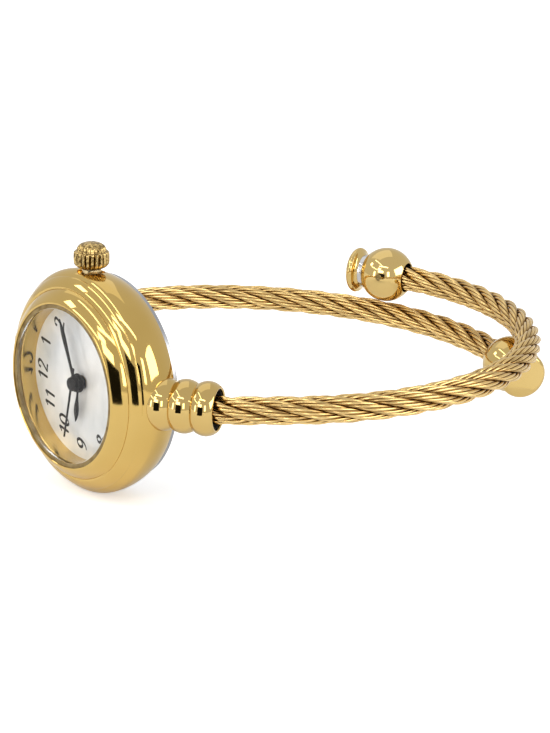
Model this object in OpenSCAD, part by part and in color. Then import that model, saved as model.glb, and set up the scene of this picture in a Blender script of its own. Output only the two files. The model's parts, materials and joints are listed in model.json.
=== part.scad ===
// Cuff watch: a small round quartz watch on two sprung arms of wire rope.
// Millimetres. The origin is the middle of the caseback's outer face.
// +Y runs from the caseback into the wrist, +Z is the crown side, +X the six o'clock side.

/* [Case] */
// Outer diameter of the case at its widest
case_d = 26; // [25:0.1:28]
// Height of the middle case, from the caseback's rim to the bezel's seat
case_h = 4.7; // [4.5:0.1:5.2]
// How far the case's side swells out beyond its upper edge
case_swell = 0.7; // [0.4:0.05:0.9]
// Radius of the space that holds the dial and the movement
cavity_r = 9.4; // [9.3:0.02:9.5]
// Thickness of the caseback at its rim
back_t = 0.9; // [0.8:0.05:1.1]
// Thickness of the caseback in its middle
back_floor = 0.6; // [0.45:0.05:0.65]
// Diameter of the caseback's rim
back_d = 24; // [23.6:0.1:24.2]
// How much wider the caseback's snap wall is than the space for the movement
snap_step = 0.4; // [0.35:0.01:0.5]

/* [Bezel and crystal] */
// Height of the bezel above its seat
bezel_h = 2.3; // [2.1:0.05:2.6]
// Width of the bezel's lip round the crystal's gasket
lip_w = 0.2; // [0.14:0.01:0.28]
// Width of the bezel's inner ring, from its lip to the groove
inner_ring_w = 1.48; // [1.4:0.02:1.56]
// Height of the groove between the bezel's two rings, above the bezel's seat
groove_h = 1; // [0.9:0.05:1.1]
// How far the crystal's edge lies inside the space that holds the dial
crystal_step = 0.2; // [0.15:0.01:0.25]
// Thickness of the crystal
crystal_t = 1; // [0.8:0.05:1.1]
// Thickness of the gasket round the crystal
gasket_t = 0.22; // [0.16:0.01:0.24]
// Width of the flange ring's foot on the dial
flange_w = 0.4; // [0.35:0.05:0.6]
// Thickness of the dial
dial_t = 0.4; // [0.3:0.05:0.5]
// Depth of the dial below the bezel's lip
dial_depth = 3.2; // [3:0.05:3.3]

/* [Crown] */
// Height of the stem above the caseback's outer face
stem_h = 3.6; // [3.5:0.05:3.7]
// Diameter of the crown
crown_d = 4.05; // [3.8:0.05:4.4]
// Height of the crown along the stem
crown_h = 3; // [2.8:0.05:3.4]
// Travel of the crown when it is pulled out to set the hands
crown_pull = 1; // [0.8:0.05:1.1]
// Diameter of the crown tube's collar
collar_d = 2.2; // [2.1:0.05:2.4]
// Diameter of the stem
stem_d = 0.84; // [0.8:0.02:0.86]
// Number of flutes round the crown
flutes = 22; // [16:1:26]

/* [Hands] */
// Hour shown
hour_now = 9; // [0:1:11]
// Minute shown
minute_now = 11.2; // [0:0.2:59.8]
// Second shown
second_now = 47; // [0:1:59]
// Length of the hour hand
hour_len = 4.7; // [4:0.1:5.4]
// Length of the minute hand
minute_len = 7.5; // [7:0.1:8]
// Length of the second hand
second_len = 6.7; // [6:0.1:7.6]

/* [Movement] */
// Width of the holder ring round the movement
holder_w = 0.8; // [0.7:0.02:0.9]
// Thickness of the main plate
plate_t = 1.2; // [1.15:0.01:1.25]
// Diameter of the battery
battery_d = 5.8; // [5.6:0.05:5.9]
// Thickness of the battery
battery_t = 1.25; // [1.1:0.05:1.35]
// Distance from the centre to the third wheel's arbor
third_dist = 2.72; // [2.7:0.01:2.75]
// Distance from the centre to the intermediate wheel's arbor
inter_dist = 2.5; // [2.48:0.01:2.52]
// Distance from the intermediate wheel's arbor to the rotor
rotor_dist = 2.38; // [2.36:0.01:2.4]
// Distance from the centre to the minute wheel's post
motion_dist = 2.4; // [2.38:0.01:2.42]

/* [End links] */
// Diameter of a link bead
bead_d = 6.1; // [5.8:0.05:6.2]
// Length of one bead along the link
bead_pitch = 2.55; // [2.5:0.02:2.6]
// Depth of the groove between two beads
bead_groove = 0.45; // [0.3:0.05:0.5]
// Direction of the link, in degrees from the dial's plane towards the wrist
link_dir = 34; // [33:0.5:36]
// Distance from the middle plane to the cup's mouth
mouth_x = 17.25; // [17:0.05:17.5]
// Distance from the caseback's plane to the cup's mouth
mouth_y = 1.2; // [1.1:0.05:1.4]
// Bore of the cup that the cable enters
cup_d = 4.6; // [4.5:0.02:4.8]
// Depth of the cup
cup_depth = 2.6; // [2.5:0.05:2.8]
// Thickness of the black seal in the cup's floor
seal_t = 0.5; // [0.3:0.05:0.55]
// Diameter of the stud that fixes the link in the case
stud_d = 2.2; // [2:0.05:2.3]

/* [Arms] */
// Diameter of the wire rope
cable_d = 3.24; // [3:0.02:3.3]
// Length of rope in which its six strands turn once
cable_lay = 22.8; // [20:0.2:26]
// Length of cable inside the cup
cable_in_cup = 1.3; // [1.2:0.05:1.35]
// Radius of the bend next to the cup
root_bend_r = 26.2; // [24:0.2:28]
// Radius of the cuff's sides
side_bend_r = 29.4; // [28:0.2:31]
// Heading at which the root bend meets the side
root_bend_end = 61; // [57:1:65]
// Heading at which the side meets the back
side_bend_end = 140.4; // [137:0.2:144]
// How far the six o'clock arm runs past the middle of the back, to its ball
overlap_six = 11.6; // [11:0.2:12.6]
// How far the twelve o'clock arm runs past the middle of the back, to its ball
overlap_twelve = 13; // [12.2:0.2:13.6]
// Step up of the six o'clock arm in its first millimetres
step_six = 0.43; // [0.42:0.01:0.5]
// Rise of the six o'clock arm for each millimetre of its length
rise_six = 0.013; // [0.012:0.001:0.02]
// Drop of the twelve o'clock arm for each millimetre of its length
drop_twelve = 0.083; // [0.082:0.001:0.09]
// How much of that drop the twelve o'clock arm takes back by the middle of the cuff's back
level_twelve = 1.55; // [1.4:0.01:1.57]

/* [Finials] */
// Diameter of the ball on each arm
ball_d = 7; // [6.8:0.05:7.1]
// Depth of the cable's hole in the ball
ball_hole = 2.4; // [2:0.1:3]
// Space round the cable in the ball's hole
hole_gap = 0.24; // [0.22:0.01:0.3]
// Diameter of the end cap
cap_d = 5.85; // [5.6:0.05:6]
// Diameter of the neck between ball and end cap
neck_d = 4.2; // [3.8:0.05:4.4]
// Distance from the ball's centre to the end cap's flat face
cap_reach = 4.75; // [4.6:0.05:5]

/* [Hidden] */
$fn = 64;
// Fine overlap that joins solids of one piece, and running clearance of a shaft
eps = 0.01;
run = 0.05;
slip = 0.02;

case_r = case_d / 2;
seat_h = back_t + case_h;
edge_r = case_r - case_swell;
snap_r = cavity_r + snap_step;
crystal_r = cavity_r - crystal_step;
gasket_r = crystal_r + gasket_t;
lip_r = gasket_r + lip_w;
groove_r = lip_r + inner_ring_w;
neck_r = groove_r - 0.9;
dial_open_r = cavity_r - flange_w;
plate_r = cavity_r - holder_w;
neck_top = seat_h + 1;
lip_h = seat_h + bezel_h;
crystal_top = lip_h - 0.1;
crystal_low = crystal_top - crystal_t;
dial_top = lip_h - dial_depth;
dial_low = dial_top - dial_t;
dial_r = cavity_r - 0.05;
dial_hole_r = 0.8;
snap_wall = 0.7;
snap_top = back_t + 1;
back_r = back_d / 2;

// Movement levels, counted from the caseback's outer face
plate_low = dial_low - 0.6 - plate_t;
plate_top = plate_low + plate_t;
wheel_t = 0.15;
centre_z = plate_low - 0.3;
third_z = centre_z - 0.3;
fourth_z = third_z - 0.3;
inter_z = fourth_z - 0.3;
bridge_t = 0.2;
bridge_z = inter_z - 0.35;
motion_z = plate_top + 0.1;
hour_z = motion_z + 0.22;
clamp_t = 0.1;
clamp_z = back_floor + 0.1;
battery_z = clamp_z + clamp_t;

// Directions of the arbors round the centre, in degrees from six o'clock towards three
third_dir = -30;
inter_dir = 75;
rotor_dir = 60;
motion_dir = -90;
third_at = third_dist * [cos(third_dir), sin(third_dir)];
inter_at = inter_dist * [cos(inter_dir), sin(inter_dir)];
rotor_at = inter_at + rotor_dist * [cos(rotor_dir), sin(rotor_dir)];
motion_at = motion_dist * [cos(motion_dir), sin(motion_dir)];
battery_at = [-(plate_r - battery_d / 2 - 0.1), 0];
clamp_screw_at = [battery_at[0], battery_d / 2 + 1.7];
pillars = [[3.6, 1.9], [-1.5, -3.3], [5.6, -2]];
pillar_r = 0.35;
screw_r = 0.3;
screw_head_r = 0.55;
screw_head_h = 0.15;

// Teeth of the train
centre_teeth = 64;
third_teeth = 60;
fourth_teeth = 40;
inter_teeth = 60;
minute_teeth = 36;
hour_teeth = 40;
third_pinion = 8;
fourth_pinion = 8;
inter_pinion = 10;
rotor_pinion = 8;
cannon_teeth = 12;
minute_pinion = 10;

// Centre arbor, cannon tube and hour tube, one inside the other
arbor_r = 0.12;
cannon_bore_r = arbor_r + run;
cannon_r = 0.38;
hour_bore_r = cannon_r + run;
hour_tube_r = 0.62;
pivot_r = 0.1;
hub_r = [0.95, 0.78, 0.55];
hand_t = 0.14;
hand_z = [dial_top + 0.5, dial_top + 0.95, dial_top + 1.4];
second_cap_h = 0.2;

// Crown, measured along the stem from the case's axis
recess_r = 1.55;
recess_z = case_r - 0.7;
collar_r = collar_d / 2;
collar_top = recess_z + 0.85;
crown_z = collar_top + 0.1;
crown_top = crown_z + crown_h;
tube_r = 0.95;
nose_r = 0.68;
nose_top = crown_z + 1.15;
stem_r = stem_d / 2;
crown_bore_r = nose_r + 0.1;
crown_bore_top = nose_top + 0.15;
gasket_z = crown_z + 0.45;
gasket_h = 0.3;
gasket_seat_r = 1.1;
stem_in = 4.6;
pinion_r = 0.58;
pinion_len = 1;

// Link and cable
bead_r = bead_d / 2;
bead_low_r = bead_r - bead_groove;
bead_sag = 0.06;
link_len = 2.9 * bead_pitch;
mouth_lip = 0.25;
stud_len = 0.9;
stud_r = stud_d / 2;
cup_r = cup_d / 2;
cable_r = cable_d / 2;
strands = 6;
strand_start = 28;
strand_r = cable_r / 3;
strand_at = cable_r - strand_r;
valley_r = 0.71 * cable_r;
lay_steps = 16;
lead = 0.45;
ball_r = ball_d / 2;
ball_hole_r = cable_r + hole_gap;
neck_rad = neck_d / 2;
cap_r = cap_d / 2;
neck_start = sqrt(ball_r * ball_r - neck_rad * neck_rad);
cable_seat = 0.07;
post_r = 0.15;

// Points of an arc from p to q that swells by b to the left of the way from p to q
function arc(p, q, b, n = 8) =
    let(c = norm(q - p), r = (c * c / 4 + b * b) / (2 * b), u = (q - p) / c, w = [-u[1], u[0]],
        o = (p + q) / 2 - w * (r - b), half = asin(c / 2 / r))
    [for (i = [0:n]) let(a = half * (1 - 2 * i / n)) o + r * (cos(a) * w - sin(a) * u)];

// Side of the middle case from the bezel's seat down to the caseback's rim
widest_h = back_t + 0.7 * case_h;
foot_r = back_r + 0.1;
function case_side(h) =
    h > widest_h
        ? case_r - case_swell * pow((h - widest_h) / (seat_h - widest_h), 2)
        : case_r - (case_r - foot_r) * pow((widest_h - h) / (widest_h - back_t), 2.2);
side_steps = 20;
case_outline = [for (i = [0:side_steps])
    let(h = seat_h - case_h * i / side_steps) [case_side(h), h]];

// Moves a flat drawing of the head, whose height runs out through the dial, into place
module head() {
    rotate([90, 0, 0]) children();
}

// Moves a piece whose own axis is the stem into place, z along the stem
module on_stem() {
    translate([0, -stem_h, 0]) children();
}

// Moves a piece whose own axis is the link into place, z = 0 at the cup's mouth, z along the cable
module on_link(side) {
    mirror([side < 0 ? 1 : 0, 0, 0])
        translate([mouth_x, mouth_y, 0]) rotate([0, 0, link_dir]) rotate([0, 90, 0]) children();
}

module ring(r_out, r_in, z, h) {
    translate([0, 0, z]) difference() {
        cylinder(r = r_out, h = h);
        translate([0, 0, -eps]) cylinder(r = r_in, h = h + 2 * eps);
    }
}

module disc(r, z, h) {
    translate([0, 0, z]) cylinder(r = r, h = h);
}

// Toothed disc with shallow pointed teeth: its tips stay just inside the pitch circle
module gear(teeth, pitch_r, z, h, bore_r, turn = 0) {
    tip = pitch_r - 0.01;
    root = pitch_r - 0.12;
    translate([0, 0, z]) rotate(turn) difference() {
        linear_extrude(h) polygon([for (i = [0:2 * teeth - 1])
            let(r = i % 2 == 0 ? tip : root, a = 180 * i / teeth) r * [cos(a), sin(a)]]);
        if (bore_r > 0) translate([0, 0, -eps]) cylinder(r = bore_r, h = h + 2 * eps, $fn = 32);
    }
}

module screw(at, z, len, up = 1) {
    translate([at[0], at[1], z]) {
        cylinder(r = screw_r, h = len, $fn = 24);
        translate([0, 0, up > 0 ? len - eps : -screw_head_h])
            cylinder(r = screw_head_r, h = screw_head_h + eps, $fn = 24);
    }
}

// Shapes of the case

module case_envelope() {
    rotate_extrude($fn = 96)
        polygon(concat([[0, seat_h]], case_outline, [[back_r + 0.05, back_t], [back_r + 0.05, -5], [0, -5]]));
}

module case_body() {
    color("gold") difference() {
        union() {
            head() rotate_extrude($fn = 96)
                polygon(concat([[cavity_r, neck_top], [neck_r, neck_top], [neck_r, seat_h]], case_outline,
                    [[cavity_r, back_t]]));
        }
        head() disc(snap_r, back_t - eps, snap_top - back_t + slip);
        head() ring(snap_r + 0.5, snap_r - 0.1, back_t - eps, 0.4);
        on_stem() translate([0, 0, cavity_r - 1]) cylinder(r = tube_r, h = case_r);
        on_stem() translate([0, 0, recess_z]) cylinder(r = recess_r, h = case_r);
        for (side = [-1, 1]) on_link(side)
            translate([0, 0, -link_len - stud_len]) cylinder(r = stud_r, h = link_len + stud_len);
    }
}

module bezel() {
    color("gold") head() rotate_extrude($fn = 96) polygon(concat(
        [[gasket_r, lip_h]],
        arc([lip_r, lip_h], [groove_r, seat_h + groove_h], 0.15),
        arc([groove_r, seat_h + groove_h], [edge_r, seat_h + 0.05], 0.11),
        [[edge_r, seat_h], [neck_r + slip, seat_h], [neck_r + slip, neck_top + slip], [gasket_r, neck_top + slip]]));
}

module crystal() {
    bevel = 0.15;
    color("lightcyan", 0.4) head() rotate_extrude($fn = 96) polygon([
        [0, crystal_low], [crystal_r, crystal_low], [crystal_r, crystal_top - bevel],
        [crystal_r - bevel, crystal_top], [0, crystal_top]]);
}

module crystal_gasket() {
    color("wheat") head() ring(gasket_r - eps, crystal_r, crystal_low, crystal_t - 0.1);
}

module flange_ring() {
    foot = 0.25;
    color("gold") head() rotate_extrude($fn = 96) polygon([
        [dial_open_r, dial_top], [cavity_r - slip, dial_top], [cavity_r - slip, crystal_low],
        [crystal_r - foot, crystal_low], [dial_open_r, crystal_low - foot]]);
}

module dial() {
    foot_r = 0.3;
    color("white") head() difference() {
        union() {
            disc(dial_r, dial_low, dial_t);
            for (a = [45, 225]) rotate(a) translate([(plate_r + cavity_r) / 2, 0, dial_low - 0.8])
                cylinder(r = foot_r, h = 0.8 + eps, $fn = 24);
        }
        disc(dial_hole_r, dial_low - eps, dial_t + 2 * eps);
    }
}

module caseback() {
    bevel = 0.4;
    color("silver") head() rotate_extrude($fn = 96) polygon([
        [0, 0], [back_r - 2 * bevel, 0], [back_r, bevel], [back_r, back_t], [snap_r - slip, back_t],
        [snap_r - slip, snap_top], [snap_r - snap_wall, snap_top], [snap_r - snap_wall, back_floor],
        [0, back_floor]]);
}

module caseback_gasket() {
    color("dimgray") head() ring(snap_r + 0.48, snap_r + slip, back_t, 0.37);
}

// Crown and stem

module crown_tube() {
    color("silver") on_stem() difference() {
        union() {
            translate([0, 0, cavity_r]) cylinder(r = tube_r - slip, h = recess_z - cavity_r + eps);
            translate([0, 0, recess_z]) cylinder(r = collar_r, h = collar_top - recess_z);
            translate([0, 0, recess_z]) cylinder(r = nose_r, h = nose_top - recess_z);
        }
        translate([0, 0, cavity_r - eps]) cylinder(r = stem_r + run, h = nose_top);
    }
}

module crown_gasket() {
    color("dimgray") on_stem() rotate_extrude($fn = 48)
        translate([(gasket_seat_r + nose_r) / 2, gasket_z + gasket_h / 2])
            circle(r = (gasket_seat_r - nose_r) / 2 - 0.06, $fn = 16);
}

module crown() {
    r = crown_d / 2;
    flute_r = 0.2;
    band_low = crown_z + 0.25 * crown_h;
    band_top = crown_z + 0.72 * crown_h;
    color("goldenrod") on_stem() difference() {
        rotate_extrude($fn = 64) polygon(concat(
            [[0, crown_z], [0.62 * r, crown_z]],
            [[0.88 * r, crown_z + 0.13 * crown_h], [r, band_low], [r, band_top]],
            arc([0.95 * r, band_top + 0.02 * crown_h], [0, crown_top], -0.16 * r)));
        translate([0, 0, crown_z - eps]) cylinder(r = crown_bore_r, h = crown_bore_top - crown_z + eps);
        translate([0, 0, gasket_z - 0.02]) cylinder(r = gasket_seat_r, h = gasket_h + 0.04);
        cylinder(r = stem_r, h = crown_top - 0.8);
        for (i = [0:flutes - 1]) rotate(360 / flutes * i) translate([r + 0.06, 0, crown_z])
            cylinder(r = flute_r, h = band_top - crown_z, $fn = 16);
    }
}

module stem() {
    color("silver") on_stem() translate([0, 0, stem_in]) cylinder(r = stem_r, h = crown_top - 0.8 - stem_in);
}

module sliding_pinion() {
    color("silver") on_stem() gear(cannon_teeth, pinion_r, stem_in + 0.4, pinion_len, stem_r);
}

// Movement, drawn with its height out through the dial

module movement_holder() {
    color("ivory") head() difference() {
        ring(cavity_r - slip, plate_r + slip, snap_top + 0.1, dial_low - snap_top - 0.1);
        for (a = [45, 225]) rotate(a) translate([(plate_r + cavity_r) / 2, 0, 0])
            cylinder(r = 0.3 + slip, h = dial_top, $fn = 24);
        translate([0, plate_r + holder_w / 2, stem_h]) cube([1.3, 3 * holder_w, 1.3], center = true);
    }
}

module main_plate() {
    pocket = 0.75;
    color("khaki") head() difference() {
        union() {
            disc(plate_r, plate_low, plate_t);
            translate([motion_at[0], motion_at[1], plate_top - eps])
                cylinder(r = post_r, h = dial_low - plate_top - 0.05, $fn = 24);
        }
        disc(cannon_r + run, plate_low - eps, plate_t + 2 * eps);
        for (p = [third_at, inter_at, rotor_at]) translate([p[0], p[1], plate_low - eps])
            cylinder(r = pivot_r + run, h = 0.4, $fn = 24);
        for (p = concat(pillars, [clamp_screw_at])) translate([p[0], p[1], plate_low - eps])
            cylinder(r = screw_r, h = 0.9, $fn = 24);
        translate([-pocket, stem_in - 0.2, stem_h - pocket])
            cube([2 * pocket, 0.4 + pinion_len + crown_pull + 0.6, plate_t]);
        translate([-stem_r - 0.1, stem_in, stem_h - stem_r - 0.1]) cube([stem_d + 0.2, plate_r, plate_t]);
    }
}

module train_bridge() {
    outline = [pillars[1], pillars[2], pillars[0], rotor_at + [0.6, 0.3], [-0.9, 4.4]];
    color("khaki") head() difference() {
        union() {
            translate([0, 0, bridge_z]) linear_extrude(bridge_t) polygon(outline);
            for (p = concat(pillars, [rotor_at])) translate([p[0], p[1], bridge_z])
                cylinder(r = 0.7, h = bridge_t, $fn = 32);
            for (p = pillars) translate([p[0], p[1], bridge_z])
                cylinder(r = pillar_r + 0.15, h = plate_low - bridge_z, $fn = 32);
        }
        for (p = [[0, 0], third_at, inter_at, rotor_at]) translate([p[0], p[1], bridge_z - eps])
            cylinder(r = pivot_r + run, h = 1, $fn = 24);
        for (p = pillars) translate([p[0], p[1], bridge_z - eps])
            cylinder(r = screw_r, h = plate_low - bridge_z + 2 * eps, $fn = 24);
    }
}

module movement_screws() {
    color("silver") head() {
        for (p = pillars) screw(p, bridge_z, plate_low + 0.8 - bridge_z, -1);
        screw(clamp_screw_at, plate_low - clamp_t, 0.8 + clamp_t, -1);
    }
}

board_w = 4.5;
module circuit_board() {
    board_t = 0.2;
    chip = 2;
    color("darkgreen") head() {
        intersection() {
            disc(plate_r - 0.2, plate_low - board_t, board_t);
            translate([-3.5, -plate_r, plate_low - board_t]) cube([2 * board_w, board_w, board_t]);
        }
        translate([-2.6, board_w - plate_r - 0.5 - chip, plate_low - board_t - 0.4])
            cube([chip, chip, 0.4 + eps]);
    }
}

module quartz_can() {
    can_r = 0.62;
    color("silver") head() translate([0.4, board_w - plate_r - 1.5, plate_low - 0.2 - can_r]) rotate([0, 90, 0])
        cylinder(r = can_r, h = 4.4, $fn = 32);
}

coil_y = plate_r - 2;
core_z = plate_low - 0.9;
core_t = 0.35;
coil_len = 5.4;
coil_r = 0.72;
module coil() {
    color("chocolate") head() translate([-coil_len / 2, coil_y, core_z + core_t / 2]) rotate([0, 90, 0])
        difference() {
            cylinder(r = coil_r, h = coil_len, $fn = 32);
            translate([0, 0, -eps]) cylinder(r = 0.36, h = coil_len + 2 * eps, $fn = 32);
        }
}

module coil_core() {
    color("gray") head() {
        translate([-coil_len / 2 - 0.9, coil_y - 0.25, core_z + 0.05])
            cube([coil_len + 1.8, 0.5, core_t - 0.1]);
    }
}

module stator() {
    leg = 0.8;
    half = coil_len / 2 + 0.95;
    z = core_z + core_t - 0.05;
    low = rotor_at[1] - 0.8;
    top = min(rotor_at[1] + 0.8, coil_y - coil_r - 0.06);
    color("gray") head() difference() {
        union() {
            for (x = [-half, half - leg]) translate([x, rotor_at[1], z])
                cube([leg, coil_y - rotor_at[1] + 0.3, 0.3]);
            translate([-half, low, z]) cube([2 * half, top - low, 0.3]);
        }
        translate([rotor_at[0], rotor_at[1], z - eps]) cylinder(r = 0.72, h = 0.4, $fn = 32);
    }
}

module battery() {
    color("silver") head() translate([battery_at[0], battery_at[1], battery_z]) {
        cylinder(r = battery_d / 2, h = battery_t - 0.2);
        cylinder(r = battery_d / 2 - 0.5, h = battery_t);
    }
}

module battery_clamp() {
    wide = 1.6;
    y_end = clamp_screw_at[1] - 0.8;
    color("silver") head() difference() {
        union() {
            translate([battery_at[0] - wide / 2, -2, clamp_z]) cube([wide, y_end + 2, clamp_t]);
            translate([battery_at[0] - wide / 2, y_end - clamp_t, clamp_z])
                cube([wide, clamp_t, plate_low - clamp_z]);
            translate([battery_at[0] - wide / 2, y_end - clamp_t, plate_low - clamp_t])
                cube([wide, 1.5, clamp_t]);
        }
        translate([clamp_screw_at[0], clamp_screw_at[1], plate_low - 0.5])
            cylinder(r = screw_r, h = 1, $fn = 24);
    }
}

// Arbor with its pivots in the bridge and in the main plate
module arbor(at, top) {
    translate([at[0], at[1], bridge_z]) cylinder(r = pivot_r, h = top - bridge_z, $fn = 24);
}

module rotor() {
    mag_z = core_z + core_t - 0.1;
    color("dimgray") head() {
        arbor(rotor_at, plate_low + 0.3);
        translate([rotor_at[0], rotor_at[1], 0]) {
            gear(rotor_pinion, rotor_dist * rotor_pinion / (rotor_pinion + inter_teeth), inter_z, wheel_t, 0);
            disc(0.55, mag_z, 0.4, $fn = 32);
        }
    }
}

module intermediate_wheel() {
    color("gold") head() {
        arbor(inter_at, plate_low + 0.3);
        translate([inter_at[0], inter_at[1], 0]) {
            gear(inter_teeth, rotor_dist * inter_teeth / (rotor_pinion + inter_teeth), inter_z, wheel_t, 0);
            gear(inter_pinion, inter_dist * inter_pinion / (inter_pinion + fourth_teeth),
                inter_z + wheel_t - eps, fourth_z - inter_z + eps, 0);
        }
    }
}

module fourth_wheel() {
    color("gold") head() {
        translate([0, 0, fourth_z - 0.1])
            cylinder(r = arbor_r, h = hand_z[2] + hand_t - fourth_z + 0.1, $fn = 24);
        gear(fourth_teeth, inter_dist * fourth_teeth / (inter_pinion + fourth_teeth), fourth_z, wheel_t, 0);
        gear(fourth_pinion, third_dist * fourth_pinion / (fourth_pinion + third_teeth),
            fourth_z + wheel_t - eps, third_z - fourth_z + eps, 0);
    }
}

module third_wheel() {
    color("gold") head() {
        arbor(third_at, plate_low + 0.3);
        translate([third_at[0], third_at[1], 0]) {
            gear(third_teeth, third_dist * third_teeth / (fourth_pinion + third_teeth), third_z, wheel_t, 0);
            gear(third_pinion, third_dist * third_pinion / (third_pinion + centre_teeth),
                third_z + wheel_t - eps, centre_z - third_z + eps, 0);
        }
    }
}

module centre_wheel() {
    top = hand_z[1] + hand_t;
    color("gold") head() {
        gear(centre_teeth, third_dist * centre_teeth / (third_pinion + centre_teeth), centre_z, wheel_t,
            cannon_r - eps);
        ring(cannon_r, cannon_bore_r, centre_z, top - centre_z, $fn = 32);
        gear(cannon_teeth, motion_dist * cannon_teeth / (cannon_teeth + minute_teeth), motion_z, wheel_t,
            cannon_r - eps);
    }
}

module minute_wheel() {
    bore = post_r + run;
    color("gold") head() translate([motion_at[0], motion_at[1], 0]) {
        gear(minute_teeth, motion_dist * minute_teeth / (cannon_teeth + minute_teeth), motion_z, wheel_t, bore);
        gear(minute_pinion, motion_dist * minute_pinion / (minute_pinion + hour_teeth),
            motion_z + wheel_t - eps, hour_z - motion_z + eps, bore);
    }
}

module hour_wheel() {
    color("gold") head() {
        gear(hour_teeth, motion_dist * hour_teeth / (minute_pinion + hour_teeth), hour_z, wheel_t,
            hour_bore_r);
        ring(hour_tube_r, hour_bore_r, hour_z, hand_z[0] + hand_t - hour_z, $fn = 48);
    }
}

// Hands: pos is the turn clockwise from twelve
function clock(pos) = 180 - pos;
hour_pos = 30 * (hour_now + minute_now / 60);
minute_pos = 6 * minute_now;
second_pos = 6 * second_now;

// Leaf-shaped hand along +x: thin at the hub, widest at a share of its length, pointed
module leaf(len, thin, wide, at) {
    linear_extrude(hand_t) polygon([
        [0, -thin / 2], [0.34 * len, -thin / 2], [at * len, -wide / 2], [(at + 0.06) * len, -0.42 * wide],
        [len, 0], [(at + 0.06) * len, 0.42 * wide], [at * len, wide / 2], [0.34 * len, thin / 2],
        [0, thin / 2]]);
}

module hour_hand() {
    color("black") head() translate([0, 0, hand_z[0]]) difference() {
        union() {
            cylinder(r = hub_r[0], h = hand_t);
            rotate(clock(hour_pos)) leaf(hour_len, 0.42, 0.95, 0.72);
        }
        translate([0, 0, -1]) cylinder(r = hour_tube_r, h = 2);
    }
}

module minute_hand() {
    color("black") head() translate([0, 0, hand_z[1]]) difference() {
        union() {
            cylinder(r = hub_r[1], h = hand_t);
            rotate(clock(minute_pos)) leaf(minute_len, 0.36, 0.72, 0.76);
        }
        translate([0, 0, -1]) cylinder(r = cannon_r, h = 2);
    }
}

module second_hand() {
    tail = 2;
    color("black") head() translate([0, 0, hand_z[2]]) rotate(clock(second_pos)) difference() {
        union() {
            disc(hub_r[2], 0, hand_t);
            disc(0.35, 0, second_cap_h);
            linear_extrude(hand_t) polygon([[-tail, -0.16], [-tail, 0.16], [0, 0.1], [second_len, 0.05],
                [second_len, -0.05], [0, -0.1]]);
        }
        translate([0, 0, -1]) cylinder(r = arbor_r, h = 1 + hand_t);
    }
}

// End links and their seals

function bead(z) = arc([bead_low_r, z], [bead_low_r, z + bead_pitch], -bead_groove);

module end_link(side) {
    z0 = -3 * bead_pitch - 0.05;
    color("gold") difference() {
        on_link(side) union() {
            rotate_extrude() polygon(concat(
                [[0, z0]], bead(z0), bead(z0 + bead_pitch),
                arc([bead_low_r, z0 + 2 * bead_pitch], [cup_r + mouth_lip, 0], -bead_groove - bead_sag),
                [[0, 0]]));
            translate([0, 0, -link_len - stud_len + slip]) cylinder(r = stud_r - slip, h = 2);
        }
        difference() {
            head() case_envelope();
            on_link(side) translate([0, 0, -link_len - stud_len]) cylinder(r = stud_r - slip, h = link_len);
        }
        on_link(side) translate([0, 0, -cup_depth]) cylinder(r = cup_r, h = cup_depth + 1);
    }
}

module cable_seal(side) {
    color("black") on_link(side) translate([0, 0, -cup_depth]) cylinder(r = cup_r - slip, h = seal_t);
}

// Route of a cable. s is the length from the start of the root bend; the way is three arcs that meet
// without a kink, and its other half mirrors it, so that both arms follow one plan curve.
deg = 180 / PI;
back_bend_r = (mouth_x + lead * cos(link_dir)
    + root_bend_r * (sin(root_bend_end) - sin(link_dir))
    - side_bend_r * (sin(root_bend_end) - sin(side_bend_end))) / sin(side_bend_end);
len_root = root_bend_r * (root_bend_end - link_dir) / deg;
len_side = side_bend_r * (side_bend_end - root_bend_end) / deg;
len_back = back_bend_r * (180 - side_bend_end) / deg;
half_len = len_root + len_side + len_back;
start = [mouth_x, mouth_y] + lead * [cos(link_dir), sin(link_dir)];
function along(p, head_a, r, s) =
    let(b = head_a + s / r * deg) p + r * [sin(b) - sin(head_a), cos(head_a) - cos(b)];
knee = along(start, link_dir, root_bend_r, len_root);
hip = along(knee, root_bend_end, side_bend_r, len_side);
function plan(s) =
    s < 0 ? start + s * [cos(link_dir), sin(link_dir)]
    : s < len_root ? along(start, link_dir, root_bend_r, s)
    : s < len_root + len_side ? along(knee, root_bend_end, side_bend_r, s - len_root)
    : s <= half_len ? along(hip, side_bend_end, back_bend_r, s - len_root - len_side)
    : let(q = plan(2 * half_len - s)) [-q[0], q[1]];
// Height of an arm over the stem's plane, level where it leaves the cup
ease = 3.5;
function lift(side, s) =
    s <= 0 ? 0
    : side > 0 ? step_six * s * s / (s * s + ease * ease) + rise_six * s
    : level_twelve * pow(s / half_len, 2) - drop_twelve * s * s / (s + ease);
function ball_s(side) = half_len + (side > 0 ? overlap_six : overlap_twelve);
function route(side, s) = let(p = plan(s)) [side * p[0], p[1], lift(side, s)];
function heading(side, s) = let(t = route(side, s + 0.05) - route(side, s - 0.05)) t / norm(t);

// Section of the rope: each strand shows its round back, with a valley before the next one. A point of the
// section is its angle from the middle of the strand's back, and its distance from the rope's middle.
function strand_back(a) = strand_at * cos(a) + sqrt(strand_r * strand_r - pow(strand_at * sin(a), 2));
lobe = [[-20, strand_back(20)], [0, cable_r], [20, strand_back(20)], [180 / strands, valley_r]];

// One ring of the rope's skin, its section turned as far as the strands have turned at s
function rope_ring(side, s) =
    let(t = heading(side, s), w = cross([0, 0, 1], t), n = w / norm(w), b = cross(t, n), c = route(side, s))
    [for (k = [0:strands - 1], p = lobe)
        let(a = strand_start + 360 * (k / strands + s / cable_lay) + p[0])
        c + p[1] * (cos(a) * n + sin(a) * b)];

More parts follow.
